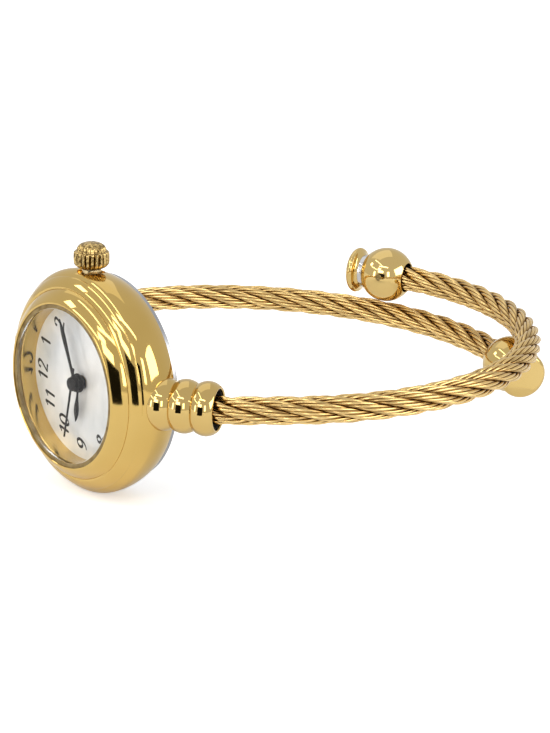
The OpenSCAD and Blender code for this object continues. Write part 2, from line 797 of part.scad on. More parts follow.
module cable(side) {
    first = -lead - cable_in_cup;
    last = ball_s(side) - ball_r + ball_hole - cable_seat;
    rings = ceil((last - first) / cable_lay * lay_steps);
    n = strands * len(lobe);
    mid = (rings + 1) * n;
    pts = concat([for (j = [0:rings]) each rope_ring(side, first + (last - first) * j / rings)],
        [route(side, first), route(side, last)]);
    color("goldenrod") polyhedron(pts, [for (i = [0:n - 1]) let(k = (i + 1) % n) each concat(
        [[i, k, mid], [rings * n + k, rings * n + i, mid + 1]],
        [for (j = [0:rings - 1]) each [[j * n + i, (j + 1) * n + i, j * n + k],
            [(j + 1) * n + i, (j + 1) * n + k, j * n + k]]])], convexity = 10);
}

// Moves a piece drawn round z into place at the ball, z pointing out along the arm
module on_ball(side) {
    s = ball_s(side);
    t = heading(side, s);
    translate(route(side, s)) rotate([0, acos(t[2]), atan2(t[1], t[0])]) children();
}

module ball(side) {
    color("gold") on_ball(side) difference() {
        sphere(r = ball_r);
        translate([0, 0, -ball_r - 1]) cylinder(r = ball_hole_r, h = ball_hole + 1);
        translate([0, 0, neck_start]) cylinder(r = ball_r, h = ball_r);
    }
}

module end_cap(side) {
    rim_z = cap_reach - 0.62;
    color("gold") on_ball(side) rotate_extrude() polygon(concat(
        [[0, neck_start], [neck_rad, neck_start]],
        arc([neck_rad, rim_z - 0.8], [cap_r - 0.12, rim_z - 0.28], 0.1, 4),
        arc([cap_r, rim_z], [cap_r - 0.45, cap_reach], -0.12, 4),
        [[0, cap_reach]]));
}

case_body();
bezel();
crystal();
crystal_gasket();
flange_ring();
dial();
caseback();
caseback_gasket();
crown_tube();
crown_gasket();
crown();
stem();
sliding_pinion();
movement_holder();
main_plate();
train_bridge();
circuit_board();
coil();
coil_core();
stator();
quartz_can();
battery();
battery_clamp();
movement_screws();
rotor();
intermediate_wheel();
fourth_wheel();
third_wheel();
centre_wheel();
minute_wheel();
hour_wheel();
hour_hand();
minute_hand();
second_hand();
end_link(1);  // end_link_six
end_link(-1);  // end_link_twelve
cable_seal(1);  // cable_seal_six
cable_seal(-1);  // cable_seal_twelve
cable(1);  // cable_six
cable(-1);  // cable_twelve
ball(1);  // ball_six
ball(-1);  // ball_twelve
end_cap(1);  // end_cap_six
end_cap(-1);  // end_cap_twelve
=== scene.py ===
# %% [markdown]
# # A cuff watch in cells
# The watch is a small round case on two sprung arms of wire rope. Its solids come in here as the frame: named
# nodes on named bodies. Every cell below makes one visible piece as a surface worked out with numpy, or one
# finish, and puts it on the body that carries it.

import json
import math

import bmesh
import bpy
import numpy as np
from mathutils import Matrix, Vector


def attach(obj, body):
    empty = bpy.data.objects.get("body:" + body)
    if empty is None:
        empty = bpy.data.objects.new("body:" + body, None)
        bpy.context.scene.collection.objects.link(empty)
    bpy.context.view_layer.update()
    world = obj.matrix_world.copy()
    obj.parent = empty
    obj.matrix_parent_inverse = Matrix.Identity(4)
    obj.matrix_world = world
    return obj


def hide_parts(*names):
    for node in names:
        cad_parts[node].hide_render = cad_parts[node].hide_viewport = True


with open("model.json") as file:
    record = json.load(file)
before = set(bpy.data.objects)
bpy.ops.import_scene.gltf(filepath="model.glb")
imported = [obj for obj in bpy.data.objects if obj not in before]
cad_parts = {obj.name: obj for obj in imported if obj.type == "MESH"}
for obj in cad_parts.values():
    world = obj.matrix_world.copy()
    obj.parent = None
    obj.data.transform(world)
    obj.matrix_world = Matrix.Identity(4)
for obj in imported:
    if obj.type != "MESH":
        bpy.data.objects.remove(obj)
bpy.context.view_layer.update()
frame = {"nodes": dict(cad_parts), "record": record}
MM = 0.001


def in_scene(name, data):
    """A new object in the scene, made from that camera, lamp or mesh."""
    made = bpy.data.objects.new(name, data)
    bpy.context.scene.collection.objects.link(made)
    return made


# %% [markdown]
# ## The camera
# The picture was taken with a long lens from the crown side, a little above the stem. A camera is a place and
# three directions: right, up, and back from the object. These are the columns of its matrix, because a Blender
# camera looks along its own minus Z. The 36 mm sensor covers the picture's longer side.

# %% Camera
PICTURE = (550, 733)
FOCAL_PIXELS = 2500
right = Vector((0.63894, 0.76900, 0.02004))
up = Vector((-0.23510, 0.17039, 0.95692))
back = Vector((0.73246, -0.61612, 0.28966))
eye = Vector((0.221744, -0.162858, 0.084444))
camera_data = bpy.data.cameras.new("camera")
camera_data.sensor_width = 36
camera_data.lens = FOCAL_PIXELS * camera_data.sensor_width / max(PICTURE)
camera_data.clip_start = 0.01
camera = in_scene("camera", camera_data)
camera.matrix_world = Matrix.Translation(eye) @ Matrix((right, up, back)).transposed().to_4x4()
bpy.context.scene.camera = camera
bpy.context.scene.view_settings.view_transform = "Standard"
print("lens", round(camera_data.lens, 1), "mm")

# %% [markdown]
# ## From numbers to a mesh
# Every new piece is one or more grids of points: rows along a profile, columns round or along it. Four
# neighbours make one face. A shell goes all the way round: its last column joins its first. A row whose points
# all meet on the axis is a pole, and merging the points that lie in one place closes it.

# %% Shells into pieces
MERGE = 0.5e-6


def shell_faces(rows, columns, closed, first=0):
    """Corner numbers of every face of a grid: point, its right neighbour, the one beyond, and the one below."""
    row = np.arange(rows - 1)[:, None] * columns + first
    column = np.arange(columns if closed else columns - 1)[None, :]
    here, beside = row + column, row + (column + 1) % columns
    return np.stack([here, beside, beside + columns, here + columns], -1).reshape(-1, 4)


def piece(name, shells, body, material, stands_for=(), sharp=38, shade_tint=None, sheets=()):
    """One object from grids in millimetres: shells are closed round their columns, sheets aren't. Merges points
    that coincide, turns faces outwards, shades smooth apart from true edges, and puts it on its body."""
    points, faces, first = [], [], 0
    for grid, closed in [(shell, True) for shell in shells] + [(sheet, False) for sheet in sheets]:
        faces.append(shell_faces(*grid.shape[:2], closed, first))
        points.append(grid.reshape(-1, 3))
        first += len(points[-1])
    mesh = bpy.data.meshes.new(name)
    mesh.from_pydata((np.concatenate(points) * MM).tolist(), [], np.concatenate(faces).tolist())
    # An optional per-point tint goes on as an attribute: on the rope and the crown it carries painted shade.
    if shade_tint is not None:
        mesh.attributes.new("shade_tint", "FLOAT", "POINT").data.foreach_set("value", shade_tint.astype(np.float32))
    shape = bmesh.new()
    shape.from_mesh(mesh)
    bmesh.ops.remove_doubles(shape, verts=shape.verts, dist=MERGE)
    bmesh.ops.dissolve_degenerate(shape, edges=shape.edges, dist=MERGE / 5)
    bmesh.ops.holes_fill(shape, edges=[e for e in shape.edges if e.is_boundary], sides=400)
    bmesh.ops.recalc_face_normals(shape, faces=shape.faces)
    shape.to_mesh(mesh)
    shape.free()
    mesh.polygons.foreach_set("use_smooth", np.ones(len(mesh.polygons), bool))
    mesh.set_sharp_from_angle(angle=math.radians(sharp))
    mesh.materials.append(material)
    made = in_scene(name, mesh)
    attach(made, body)
    if stands_for:
        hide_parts(*stands_for)
    print(name, sum(len(p.vertices) - 2 for p in mesh.polygons), "triangles")

# %% [markdown]
# ## Profiles
# Most of a watch is turned on a lathe, so most pieces are a profile, a line of (radius, height) points, carried
# round an axis. Real edges are never dead sharp: a tiny round on each corner is what catches the light, so one
# helper rounds corners, and another draws a bow between two points.

# %% Profile helpers
def bow(start, end, swell, steps=14):
    """Arc from start to end that swells to the left of the way by swell, as points of a circle."""
    p, q = np.array(start, float), np.array(end, float)
    chord = np.linalg.norm(q - p)
    radius = (chord * chord / 4 + swell * swell) / (2 * swell)
    along = (q - p) / chord
    left = np.array([-along[1], along[0]])
    centre = (p + q) / 2 - left * (radius - swell)
    angle = np.arcsin(chord / 2 / radius) * np.linspace(1, -1, steps + 1)[:, None]
    return centre + radius * (np.cos(angle) * left - np.sin(angle) * along)


def softened(corners, radius=0.06, steps=4, turn=20):
    """Rounds each corner that turns by more than turn degrees: a small parabola from before it to after it."""
    corners = np.array(corners, float)
    rounded = [corners[:1]]
    for before, here, after in zip(corners[:-2], corners[1:-1], corners[2:]):
        a, b = before - here, after - here
        la, lb = np.linalg.norm(a), np.linalg.norm(b)
        bend = 180 - math.degrees(math.acos(np.clip(a @ b / la / lb, -1, 1)))
        if bend < turn:
            rounded.append(here[None])
            continue
        start, end = here + a * min(radius / la, 0.45), here + b * min(radius / lb, 0.45)
        t = np.linspace(0, 1, steps + 1)[:, None]
        rounded.append((1 - t) ** 2 * start + 2 * t * (1 - t) * here + t * t * end)
    rounded.append(corners[-1:])
    return np.concatenate(rounded)


def filled(profile, step=0.4):
    """Adds points on the long straight stretches of a profile, so that its faces stay near square."""
    profile = np.array(profile, float)
    pieces = [profile[:1]]
    for p, q in zip(profile[:-1], profile[1:]):
        count = max(1, int(np.ceil(np.linalg.norm(q - p) / step)))
        t = np.arange(1, count + 1)[:, None] / count
        pieces.append(p + t * (q - p))
    return np.concatenate(pieces)


def angles(count):
    """So many even angles round a full turn."""
    return np.linspace(0, 2 * np.pi, count, endpoint=False)


def unit(vectors):
    """Each vector divided by its length."""
    return vectors / np.linalg.norm(vectors, axis=-1, keepdims=True)


def turned(profile, steps):
    """The surface a lathe makes: each profile point (r, h) at every angle a is (r cos a, r sin a, h)."""
    a = angles(steps)
    r, h = np.array(profile, float).T
    return np.stack([r[:, None] * np.cos(a), r[:, None] * np.sin(a), np.repeat(h[:, None], steps, 1)], -1)


def head(points):
    """Head pieces are drawn lying down, x to six o'clock, y to the crown, height out of the dial."""
    return np.stack([points[..., 0], -points[..., 2], points[..., 1]], -1)


def looped(profile):
    """A closed profile as a line that ends where it starts."""
    return np.concatenate([profile, profile[:1]])


ROUND = 256


def lathe(profile, steps=ROUND):
    """A turned shell of the watch's head, in its place."""
    return head(turned(profile, steps))


print("columns of a lathe grid:", ROUND)

# %% [markdown]
# ## Nodes in a few words
# A finish is a small tree of nodes. Helpers keep each finish down to a few lines: one adds a node, one makes a
# pattern from Object coordinates, one lets a socket follow a pattern, and one presses a pattern into the
# surface. Object coordinates are in metres: a grain of 1 mm has a scale near 1000.

# %% Helpers for finishes
def linear(red, green, blue):
    """A screen colour, 0 to 255, as the light it stands for: ((c + 0.055) / 1.055) to the power 2.4."""
    parts = [c / 255 for c in (red, green, blue)]
    return tuple(((c + 0.055) / 1.055) ** 2.4 if c > 0.04045 else c / 12.92 for c in parts) + (1.0,)


def add(tree, kind, sockets=None, **settings):
    """A new node of that kind with its settings; each socket gets a value or another node's output."""
    made = tree.nodes.new("ShaderNode" + kind)
    for key, value in settings.items():
        setattr(made, key, value)
    for key, value in (sockets or {}).items():
        if isinstance(value, bpy.types.NodeSocket):
            tree.links.new(value, made.inputs[key])
        else:
            made.inputs[key].default_value = value
    return made


def maths(operation, first, second, **settings):
    """The result of one operation on a socket and a second one or a number."""
    return add(first.id_data, "Math", {0: first, 1: second}, operation=operation, **settings).outputs[0]


def pattern(tree, scale, detail=3.0, stretch=(1, 1, 1), rough=0.5):
    """Soft noise that stays on the piece: Object coordinates, stretched, then read as noise of that scale."""
    place = add(tree, "TexCoord").outputs["Object"]
    place = add(tree, "Mapping", {"Vector": place, "Scale": stretch}).outputs["Vector"]
    made = add(tree, "TexNoise", {"Vector": place, "Scale": scale, "Detail": detail, "Roughness": rough})
    return made.outputs["Fac"]


def between(share, low, high, start=0.35, end=0.65):
    """Screen colour or plain number that goes from low to high while the share goes from start to end."""
    ramp = add(share.id_data, "ValToRGB", {"Fac": share})
    ramp.color_ramp.elements[0].position, ramp.color_ramp.elements[1].position = start, end
    for element, value in zip(ramp.color_ramp.elements, (low, high)):
        element.color = linear(*value) if isinstance(value, tuple) else (value, value, value, 1)
    return ramp.outputs["Color"]


def mixed(share, first, second):
    """The first colour where the share is 0, and the second, a screen colour, where it is 1."""
    return add(share.id_data, "MixRGB", {"Fac": share, "Color1": first, "Color2": linear(*second)}).outputs["Color"]


def finish_named(name, colour, rough, metallic=0.0, others=None):
    """A material with its Principled shader's own sockets set; returns the material, its tree and the shader."""
    made = bpy.data.materials.new(name)
    made.use_nodes = True
    shader = made.node_tree.nodes["Principled BSDF"]
    sockets = {"Base Color": linear(*colour), "Roughness": rough, "Metallic": metallic, **(others or {})}
    for key, value in sockets.items():
        shader.inputs[key].default_value = value
    return made, made.node_tree, shader


def vary(shader, socket, share, low, high, start=0.35, end=0.65):
    """Lets one socket of the shader follow a pattern, from low to high."""
    shader.id_data.links.new(between(share, low, high, start, end), shader.inputs[socket])


def press(shader, share, depth):
    """Presses the pattern into the surface; depth is in metres."""
    bump = add(shader.id_data, "Bump", {"Height": share, "Distance": depth})
    shader.id_data.links.new(bump.outputs["Normal"], shader.inputs["Normal"])


print("helpers for finishes ready")

# %% [markdown]
# ## The studio
# The background of the picture is pure white. That white comes from the world and the floor where the camera, a
# mirror or the glass looks at them, not from more light on the watch. The floor keeps the soft shadow, and three
# soft lamps light the watch. Polished gold mirrors its room, so nine white cards stand where it shows panes of
# light, and two softer ones where its shine is even. One dark card lies and another stands where it shows black,
# and a grey tent hangs behind them all. The cards show in polished metal alone.

# %% World and floor
AMBIENT, PLAIN_LIFT, MIRROR_LIFT, WHITE_LIGHT = 0.62, 0.48, 0.12, (1, 1, 1, 1)
world = bpy.data.worlds.new("studio")
bpy.context.scene.world = world
world.use_nodes = True
air = world.node_tree
path = add(air, "LightPath").outputs
seen = maths("ADD", path["Is Camera Ray"], path["Is Glossy Ray"])
seen = maths("ADD", seen, path["Is Transmission Ray"], use_clamp=True)
level = add(air, "MapRange", {"Value": seen, "To Min": AMBIENT, "To Max": 1.0})
air.links.new(level.outputs["Result"], air.nodes["Background"].inputs["Strength"])
air.nodes["Background"].inputs["Color"].default_value = WHITE_LIGHT

FLOOR_HEIGHT, FLOOR_HALF = -13.02 * MM, 1.5
SQUARE = ((-1, -1), (1, -1), (1, 1), (-1, 1))
paper, tree, shader = finish_named("floor_paper", (236, 236, 236), 0.9, 0.0, {"Emission Color": WHITE_LIGHT})
path = add(tree, "LightPath").outputs
plain = maths("MAXIMUM", path["Is Camera Ray"], path["Is Transmission Ray"])
plain = maths("MULTIPLY", plain, PLAIN_LIFT)
mirrored = maths("MULTIPLY", path["Is Glossy Ray"], MIRROR_LIFT)
tree.links.new(maths("MAXIMUM", plain, mirrored), shader.inputs["Emission Strength"])


def stage_card(name, points, finish, faces=((0, 1, 2, 3),), mirrors_only=True):
    """A stage piece, four-cornered unless faces are given. A card shows in polished metal alone: the camera,
    soft light and shadows pass it by. Only the floor shows everywhere."""
    made = bpy.data.meshes.new(name)
    made.from_pydata([tuple(p) for p in points], [], faces)
    made.materials.append(finish)
    card = in_scene(name, made)
    if mirrors_only:
        card.visible_camera = card.visible_diffuse = card.visible_shadow = card.visible_transmission = False


stage_card("floor", [(FLOOR_HALF * a, FLOOR_HALF * b, FLOOR_HEIGHT) for a, b in SQUARE], paper, mirrors_only=False)
print("floor at", round(FLOOR_HEIGHT / MM, 2), "mm")

# %% Lamps
AIM = Vector((6 * MM, 8 * MM, 0))
LAMP_RADIANCE, LAMP_WIDE, LAMP_FAR = 3.0, 0.30, 0.6


def towards(azimuth, elevation):
    """Direction from the watch, azimuth in degrees from minus Y towards plus X, elevation up from the floor."""
    a, e = math.radians(azimuth), math.radians(elevation)
    return Vector((math.sin(a) * math.cos(e), -math.cos(a) * math.cos(e), math.sin(e)))


def lamp(name, azimuth, elevation, tall):
    """A soft lamp facing the watch. Its power is what gives its radiance: radiance x area x pi."""
    light = bpy.data.lights.new(name, "AREA")
    light.shape, light.size, light.size_y = "RECTANGLE", LAMP_WIDE, tall
    light.energy = LAMP_RADIANCE * LAMP_WIDE * tall * math.pi
    made = in_scene(name, light)
    out = towards(azimuth, elevation)
    made.matrix_world = Matrix.Translation(AIM + LAMP_FAR * out) @ out.to_track_quat("Z", "Y").to_matrix().to_4x4()
    made.visible_camera = made.visible_glossy = False


lamp("lamp_left", -25, 48, 0.30)
lamp("lamp_right", 75, 55, 0.30)
lamp("lamp_front", 25, 30, 0.20)
print("lamps: 3")

# %% Cards round the watch
CARD_FAR = 0.45
WHITE, PALE, SOFT, GREY, BLACK = 4.5, 1.12, 1.05, 0.72, 0.012


def shining(name, radiance):
    """A card's finish that shows one even grey, whatever light falls on it."""
    return finish_named(name, (0, 0, 0), 1.0, 0.0, {
        "Specular IOR Level": 0.0, "Emission Color": WHITE_LIGHT, "Emission Strength": radiance})[0]


def pane(name, azimuth, elevation, wide, tall, finish):
    """A card facing the watch, its width and height given as angles in degrees."""
    out = towards(azimuth, elevation)
    across = Vector((0, 0, 1)).cross(out).normalized()
    half_wide, half_tall = (CARD_FAR * math.tan(math.radians(angle / 2)) for angle in (wide, tall))
    sideways, above = half_wide * across, half_tall * out.cross(across)
    stage_card(name, [AIM + CARD_FAR * out + a * sideways + b * above for a, b in SQUARE], finish)


white_card = shining("card_white", WHITE)
PANES = {"low_left": (-12, 6, 9, 28), "low_right": (57, 16, 10, 22), "middle": (18, 26, 25, 11),
         "upper": (7, 36, 14, 8), "bar_low": (-22, 31, 36, 2.5), "bar_high": (-20, 58, 50, 2.5),
         "high_right": (28, 50, 40, 5), "side": (114, 22, 44, 26), "far_left": (-52, 34, 12, 10)}
for name, place_and_size in PANES.items():
    pane("pane_" + name, *place_and_size, white_card)
pane("pane_soft", -112, 59, 48, 46, shining("card_soft", SOFT))
stage_card("card_pale_lying", [((55 + 21 * a) * MM, (50 + 16 * b) * MM, FLOOR_HEIGHT + 0.05 * MM)
                               for a, b in SQUARE], shining("card_pale", PALE))

DARK_AZIMUTH, DARK_HALF, DARK_NEAR, DARK_FAR, DARK_TOP = 25, 18, 0.054, 0.19, 0.078
root = Vector((14 * MM, -4.5 * MM, FLOOR_HEIGHT + 0.1 * MM))
edges = [towards(DARK_AZIMUTH + turn, 0) for turn in (-DARK_HALF, DARK_HALF)]
near, far = ([root + distance * edge for edge in edges] for distance in (DARK_NEAR, DARK_FAR))
rise = Vector((0, 0, DARK_TOP))
black_card = shining("card_black", BLACK)
stage_card("card_lying", [*near, far[1], far[0]], black_card)
stage_card("card_standing", [*far, far[1] + rise, far[0] + rise], black_card)

TENT_R, TENT_ROWS, TENT_COLUMNS = 1.2, 13, 48
polar = np.linspace(0, np.pi / 2, TENT_ROWS)
tent = turned(np.stack([TENT_R * np.sin(polar), FLOOR_HEIGHT + TENT_R * np.cos(polar)], -1), TENT_COLUMNS)
stage_card("tent", tent.reshape(-1, 3).tolist(), shining("card_grey", GREY),
           shell_faces(TENT_ROWS, TENT_COLUMNS, True).tolist())
print("white cards:", len(PANES), "soft cards: 2, dark cards: 2, grey tent: 1")

# %% [markdown]
# ## Polished gold and the other metals
# The case, links, crown and balls are gold-plated steel, polished on a wheel. Such metal has almost no colour
# apart from what it reflects: a metallic shader with a low roughness. Faint clouds in the roughness from
# handling and fine hairlines in the bump keep it from looking like plastic. The links, balls and caps have a
# paler gold than the case, and the flange ring a duller one. The rope is drawn wire, a little rougher: each
# wire has its own tone, and painted shade darkens the valleys between wires and the cores. The crown's valleys
# are darkened by how deep a point lies, as painted shade together with dust.

# %% Metals
HAIRLINE = 0.4e-6


def polished(name, colour, darker, rough):
    """Polished metal: cloudy roughness from half to one and a half times rough, a faint tint, and hairlines."""
    made, tree, shader = finish_named(name, colour, rough, 1.0)
    cloud = pattern(tree, 260, 4)
    vary(shader, "Roughness", cloud, 0.5 * rough, 1.5 * rough)
    vary(shader, "Base Color", pattern(tree, 90), colour, darker)
    press(shader, pattern(tree, 2500, 2, (1, 0.05, 1)), HAIRLINE)
    return made


def brushed(name, colour, darker, rough, rings=9000):
    """Turned metal: fine rings round the dial's axis, from noise read along the distance from that axis."""
    made, tree, shader = finish_named(name, colour, rough, 1.0)
    place = add(tree, "TexCoord").outputs["Object"]
    flat = add(tree, "VectorMath", {0: place, 1: (1, 0, 1)}, operation="MULTIPLY").outputs["Vector"]
    far = add(tree, "VectorMath", {0: flat}, operation="LENGTH").outputs["Value"]
    lines = add(tree, "TexNoise", {"W": far, "Scale": rings, "Detail": 2.0}, noise_dimensions="1D").outputs["Fac"]
    vary(shader, "Base Color", lines, darker, colour, 0.3, 0.7)
    vary(shader, "Roughness", lines, 0.7 * rough, 1.4 * rough)
    press(shader, lines, 2e-6)
    return made


gold_polished = polished("gold_polished", (219, 186, 112), (212, 178, 103), 0.06)
gold_flange = polished("gold_flange", (214, 181, 108), (206, 172, 99), 0.15)
gold_bright = polished("gold_bright", (222, 192, 125), (214, 183, 115), 0.06)
steel_polished = polished("steel_polished", (205, 205, 206), (186, 187, 190), 0.12)
steel_brushed = brushed("steel_brushed", (196, 197, 200), (150, 152, 156), 0.28)
brass_plate = brushed("brass_plate", (205, 178, 118), (176, 146, 88), 0.32, 5000)
wheel_brass = brushed("wheel_brass", (216, 184, 112), (190, 154, 82), 0.22, 12000)

gold_wire, tree, shader = finish_named("gold_wire", (222, 188, 122), 0.16, 1.0)
# The attribute read here is painted shade: near (98, 64, 24) in the valleys between wires, on the wires' faces
# towards their strand's middle and on the cores, and pale where a wire faces out. The drawn pattern adds random worn
# patches.
own = add(tree, "Attribute", attribute_name="shade_tint").outputs["Fac"]
shade_tint = between(own, (98, 64, 24), (240, 206, 138), 0.0, 0.6)
drawn = pattern(tree, 1500, 3)
worn = mixed(between(drawn, 0.0, 0.16), shade_tint, (160, 118, 62))
tree.links.new(worn, shader.inputs["Base Color"])
vary(shader, "Roughness", drawn, 0.1, 0.22)
press(shader, pattern(tree, 4000, 2), HAIRLINE)

gold_knurled, tree, shader = finish_named("gold_knurled", (206, 172, 104), 0.16, 1.0)
# The depth attribute darkens the valleys towards (112, 82, 36): painted shade together with dust. The grime pattern
# adds random dark mottling.
deep = add(tree, "Attribute", attribute_name="shade_tint").outputs["Fac"]
grime = pattern(tree, 2300, 3, rough=0.65)
valley_shade_and_dust = between(deep, (216, 186, 122), (112, 82, 36), 0.25, 0.9)
dull = mixed(between(grime, 0.0, 0.8, 0.44, 0.6), valley_shade_and_dust, (92, 68, 32))
tree.links.new(dull, shader.inputs["Base Color"])
vary(shader, "Roughness", grime, 0.1, 0.28)
press(shader, grime, 60e-6)
collar_steel = polished("collar_steel", (208, 188, 144), (178, 158, 112), 0.2)
print("metals ready")

# %% [markdown]
# ## Glass, pearl, lacquer and rubber
# The crystal is flat mineral glass. The hands behind it are deep black in the picture, so it is coated against
# reflections: a low index stands for that. The dial is mother-of-pearl, whose layers show as soft clouds of cool
# grey, white and a little cream, under a clear coat. The hands and numerals are black lacquer, and the seals
# black rubber with a fine tooth.

# %% Clear and dark finishes
clear_glass, tree, shader = finish_named("clear_glass", (255, 255, 255), 0.0, 0.0, {
    "Transmission Weight": 1.0, "IOR": 1.15, "Specular IOR Level": 0.08})
vary(shader, "Roughness", pattern(tree, 300, 2), 0.0, 0.015)
ray = add(tree, "LightPath").outputs
passing = maths("MAXIMUM", ray["Is Shadow Ray"], ray["Is Diffuse Ray"])
bare = add(tree, "BsdfTransparent").outputs[0]
both = add(tree, "MixShader", {0: passing, 1: shader.outputs[0], 2: bare}).outputs[0]
tree.links.new(both, tree.nodes["Material Output"].inputs["Surface"])

clear_gasket, tree, shader = finish_named("clear_gasket", (134, 110, 60), 0.4, 0.0, {"Specular IOR Level": 0.25})
vary(shader, "Base Color", pattern(tree, 900, 2), (118, 94, 46), (154, 132, 84))
press(shader, pattern(tree, 2500, 2), 4e-6)

pearl, tree, shader = finish_named("pearl", (244, 243, 238), 0.22, 0.0, {"Coat Weight": 0.35, "Coat Roughness": 0.05})
clouds = pattern(tree, 210, 3, (1.0, 1.0, 0.6), 0.55)
veins = pattern(tree, 620, 4, (0.5, 1.0, 1.3), 0.6)
warm = pattern(tree, 75, 1)
layer = between(clouds, (208, 212, 212), (250, 250, 248), 0.3, 0.62)
layer = mixed(between(veins, 0.0, 0.35, 0.45, 0.7), layer, (228, 232, 236))
layer = mixed(between(warm, 0.0, 0.3, 0.5, 0.75), layer, (244, 226, 196))
tree.links.new(layer, shader.inputs["Base Color"])
press(shader, clouds, 3e-6)

black_lacquer, tree, shader = finish_named("black_lacquer", (16, 14, 14), 0.4, 0.0, {"Specular IOR Level": 0.12})
vary(shader, "Base Color", pattern(tree, 1800, 2), (12, 11, 11), (30, 27, 25))

black_rubber, tree, shader = finish_named("black_rubber", (20, 21, 24), 0.62)
vary(shader, "Base Color", pattern(tree, 1200, 3), (14, 15, 18), (34, 35, 40))
press(shader, pattern(tree, 5000, 2), 6e-6)
print("glass, pearl, lacquer and rubber ready")

# %% [markdown]
# ## The movement's finishes
# The movement only shows when the watch is taken apart, yet each part has the finish a watchmaker would find:
# ivory plastic, a green board, a coil of red-brown wire, grey soft iron, and the bright can of the battery.

# %% Finishes inside
def plain_part(name, colour, darker, rough, metallic=0.0, scale=700, depth=4e-6):
    """A moulded or pressed part: two close tones in soft noise, and the same noise pressed in a little."""
    made, tree, shader = finish_named(name, colour, rough, metallic)
    grain = pattern(tree, scale, 3)
    vary(shader, "Base Color", grain, darker, colour)
    vary(shader, "Roughness", grain, rough, min(1.0, 1.25 * rough))
    press(shader, grain, depth)
    return made


holder_plastic = plain_part("holder_plastic", (222, 216, 198), (208, 200, 180), 0.45)
board_green = plain_part("board_green", (30, 92, 58), (20, 70, 44), 0.35, 0.0, 1600)
iron_grey = plain_part("iron_grey", (128, 130, 132), (108, 109, 112), 0.35, 1.0)
battery_steel = plain_part("battery_steel", (206, 207, 210), (188, 190, 194), 0.2, 1.0, 400, 1e-6)

coil_copper, tree, shader = finish_named("coil_copper", (158, 78, 44), 0.3, 0.8)
place = add(tree, "TexCoord").outputs["Object"]
turns = add(tree, "TexWave", {"Vector": place, "Scale": 4000.0, "Distortion": 0.4}, bands_direction="X")
turns = turns.outputs["Fac"]
vary(shader, "Base Color", turns, (110, 46, 26), (176, 92, 52), 0.1, 0.8)
press(shader, turns, 12e-6)

FINISH_OF_SLOT = {
    "gold_case": gold_polished, "gold_rope": gold_wire, "steel": steel_polished, "crystal": clear_glass,
    "gasket_clear": clear_gasket, "dial_pearl": pearl, "hand_black": black_lacquer, "rubber_black": black_rubber,
    "movement_brass": brass_plate, "wheel_brass": wheel_brass, "holder_plastic": holder_plastic,
    "board_green": board_green, "coil_copper": coil_copper, "core_iron": iron_grey, "battery_steel": battery_steel,
}
for part in frame["record"]["subparts"]:
    materials = frame["nodes"][part["node"]].data.materials
    materials.clear()
    materials.append(FINISH_OF_SLOT[part["material_slot"]])
print("CAD nodes dressed:", len(frame["nodes"]))

# %% [markdown]
# ## The middle case
# The case is one turned ring with a full, swelling side: widest at seven tenths of its height, drawn in by the
# square of the distance above that, and by a power of 2.2 below. The crown sits in a round pocket milled into
# the side. A hole can't be a row of the lathe grid, so a window is left in the grid and filled by a collar of
# points between the window's edge and the pocket's circle, each one on the same side.

# %% Case body
CASE_R, SEAT, RIM, WIDEST, EDGE_R, FOOT_R = 13.0, 5.6, 0.9, 4.19, 12.3, 12.1
CAVITY_R, NECK_R, NECK_TOP, SNAP_R, SNAP_TOP = 9.4, 10.2, 6.6, 9.8, 1.9
STEM_H, POCKET_R, POCKET_FLOOR, TUBE_HOLE_R = 3.6, 1.55, 12.3, 0.8
WINDOW_LOW, WINDOW_HIGH, WINDOW_HALF = 1.8, 5.4, 6
TOP_ROW, LOW_ROW, LAST_ROW, COLLAR_ROWS = 2, 20, 25, 9


def case_side(h):
    """Radius of the case's side at height h."""
    above = CASE_R - (CASE_R - EDGE_R) * (np.clip(h - WIDEST, 0, None) / (SEAT - WIDEST)) ** 2
    below = CASE_R - (CASE_R - FOOT_R) * (np.clip(WIDEST - h, 0, None) / (WIDEST - RIM)) ** 2.2
    return np.minimum(above, below)


heights = np.concatenate([np.linspace(SEAT, WINDOW_HIGH, TOP_ROW + 1)[:-1],
                          np.linspace(WINDOW_HIGH, WINDOW_LOW, LOW_ROW - TOP_ROW + 1),
                          np.linspace(WINDOW_LOW, RIM, LAST_ROW - LOW_ROW + 1)[1:]])
side = turned(np.stack([case_side(heights), heights], -1), ROUND)
inside = softened([(case_side(RIM), RIM), (SNAP_R, RIM), (SNAP_R, SNAP_TOP), (CAVITY_R, SNAP_TOP),
                   (CAVITY_R, NECK_TOP), (NECK_R, NECK_TOP), (NECK_R, SEAT), (EDGE_R, SEAT)], 0.04)
quarter = ROUND // 4
around = np.r_[quarter + WINDOW_HALF:ROUND, 0:quarter - WINDOW_HALF + 1]
window = np.arange(quarter - WINDOW_HALF, quarter + WINDOW_HALF + 1)
sheets = [head(side[:, around]), head(side[:TOP_ROW + 1, window]), head(side[LOW_ROW:, window])]
edge = np.concatenate([side[TOP_ROW, window], side[TOP_ROW + 1:LOW_ROW + 1, window[-1]],
                       side[LOW_ROW, window[::-1]][1:], side[TOP_ROW + 1:LOW_ROW, window[0]][::-1]])
turn_angle = np.arctan2(edge[:, 2] - STEM_H, edge[:, 0])


def pocket_ring(radius, out):
    """The collar's columns on a circle of that radius round the stem, at the distance out from the dial's axis."""
    return np.stack([radius * np.cos(turn_angle), np.zeros_like(turn_angle) + out,
                     STEM_H + radius * np.sin(turn_angle)], -1)


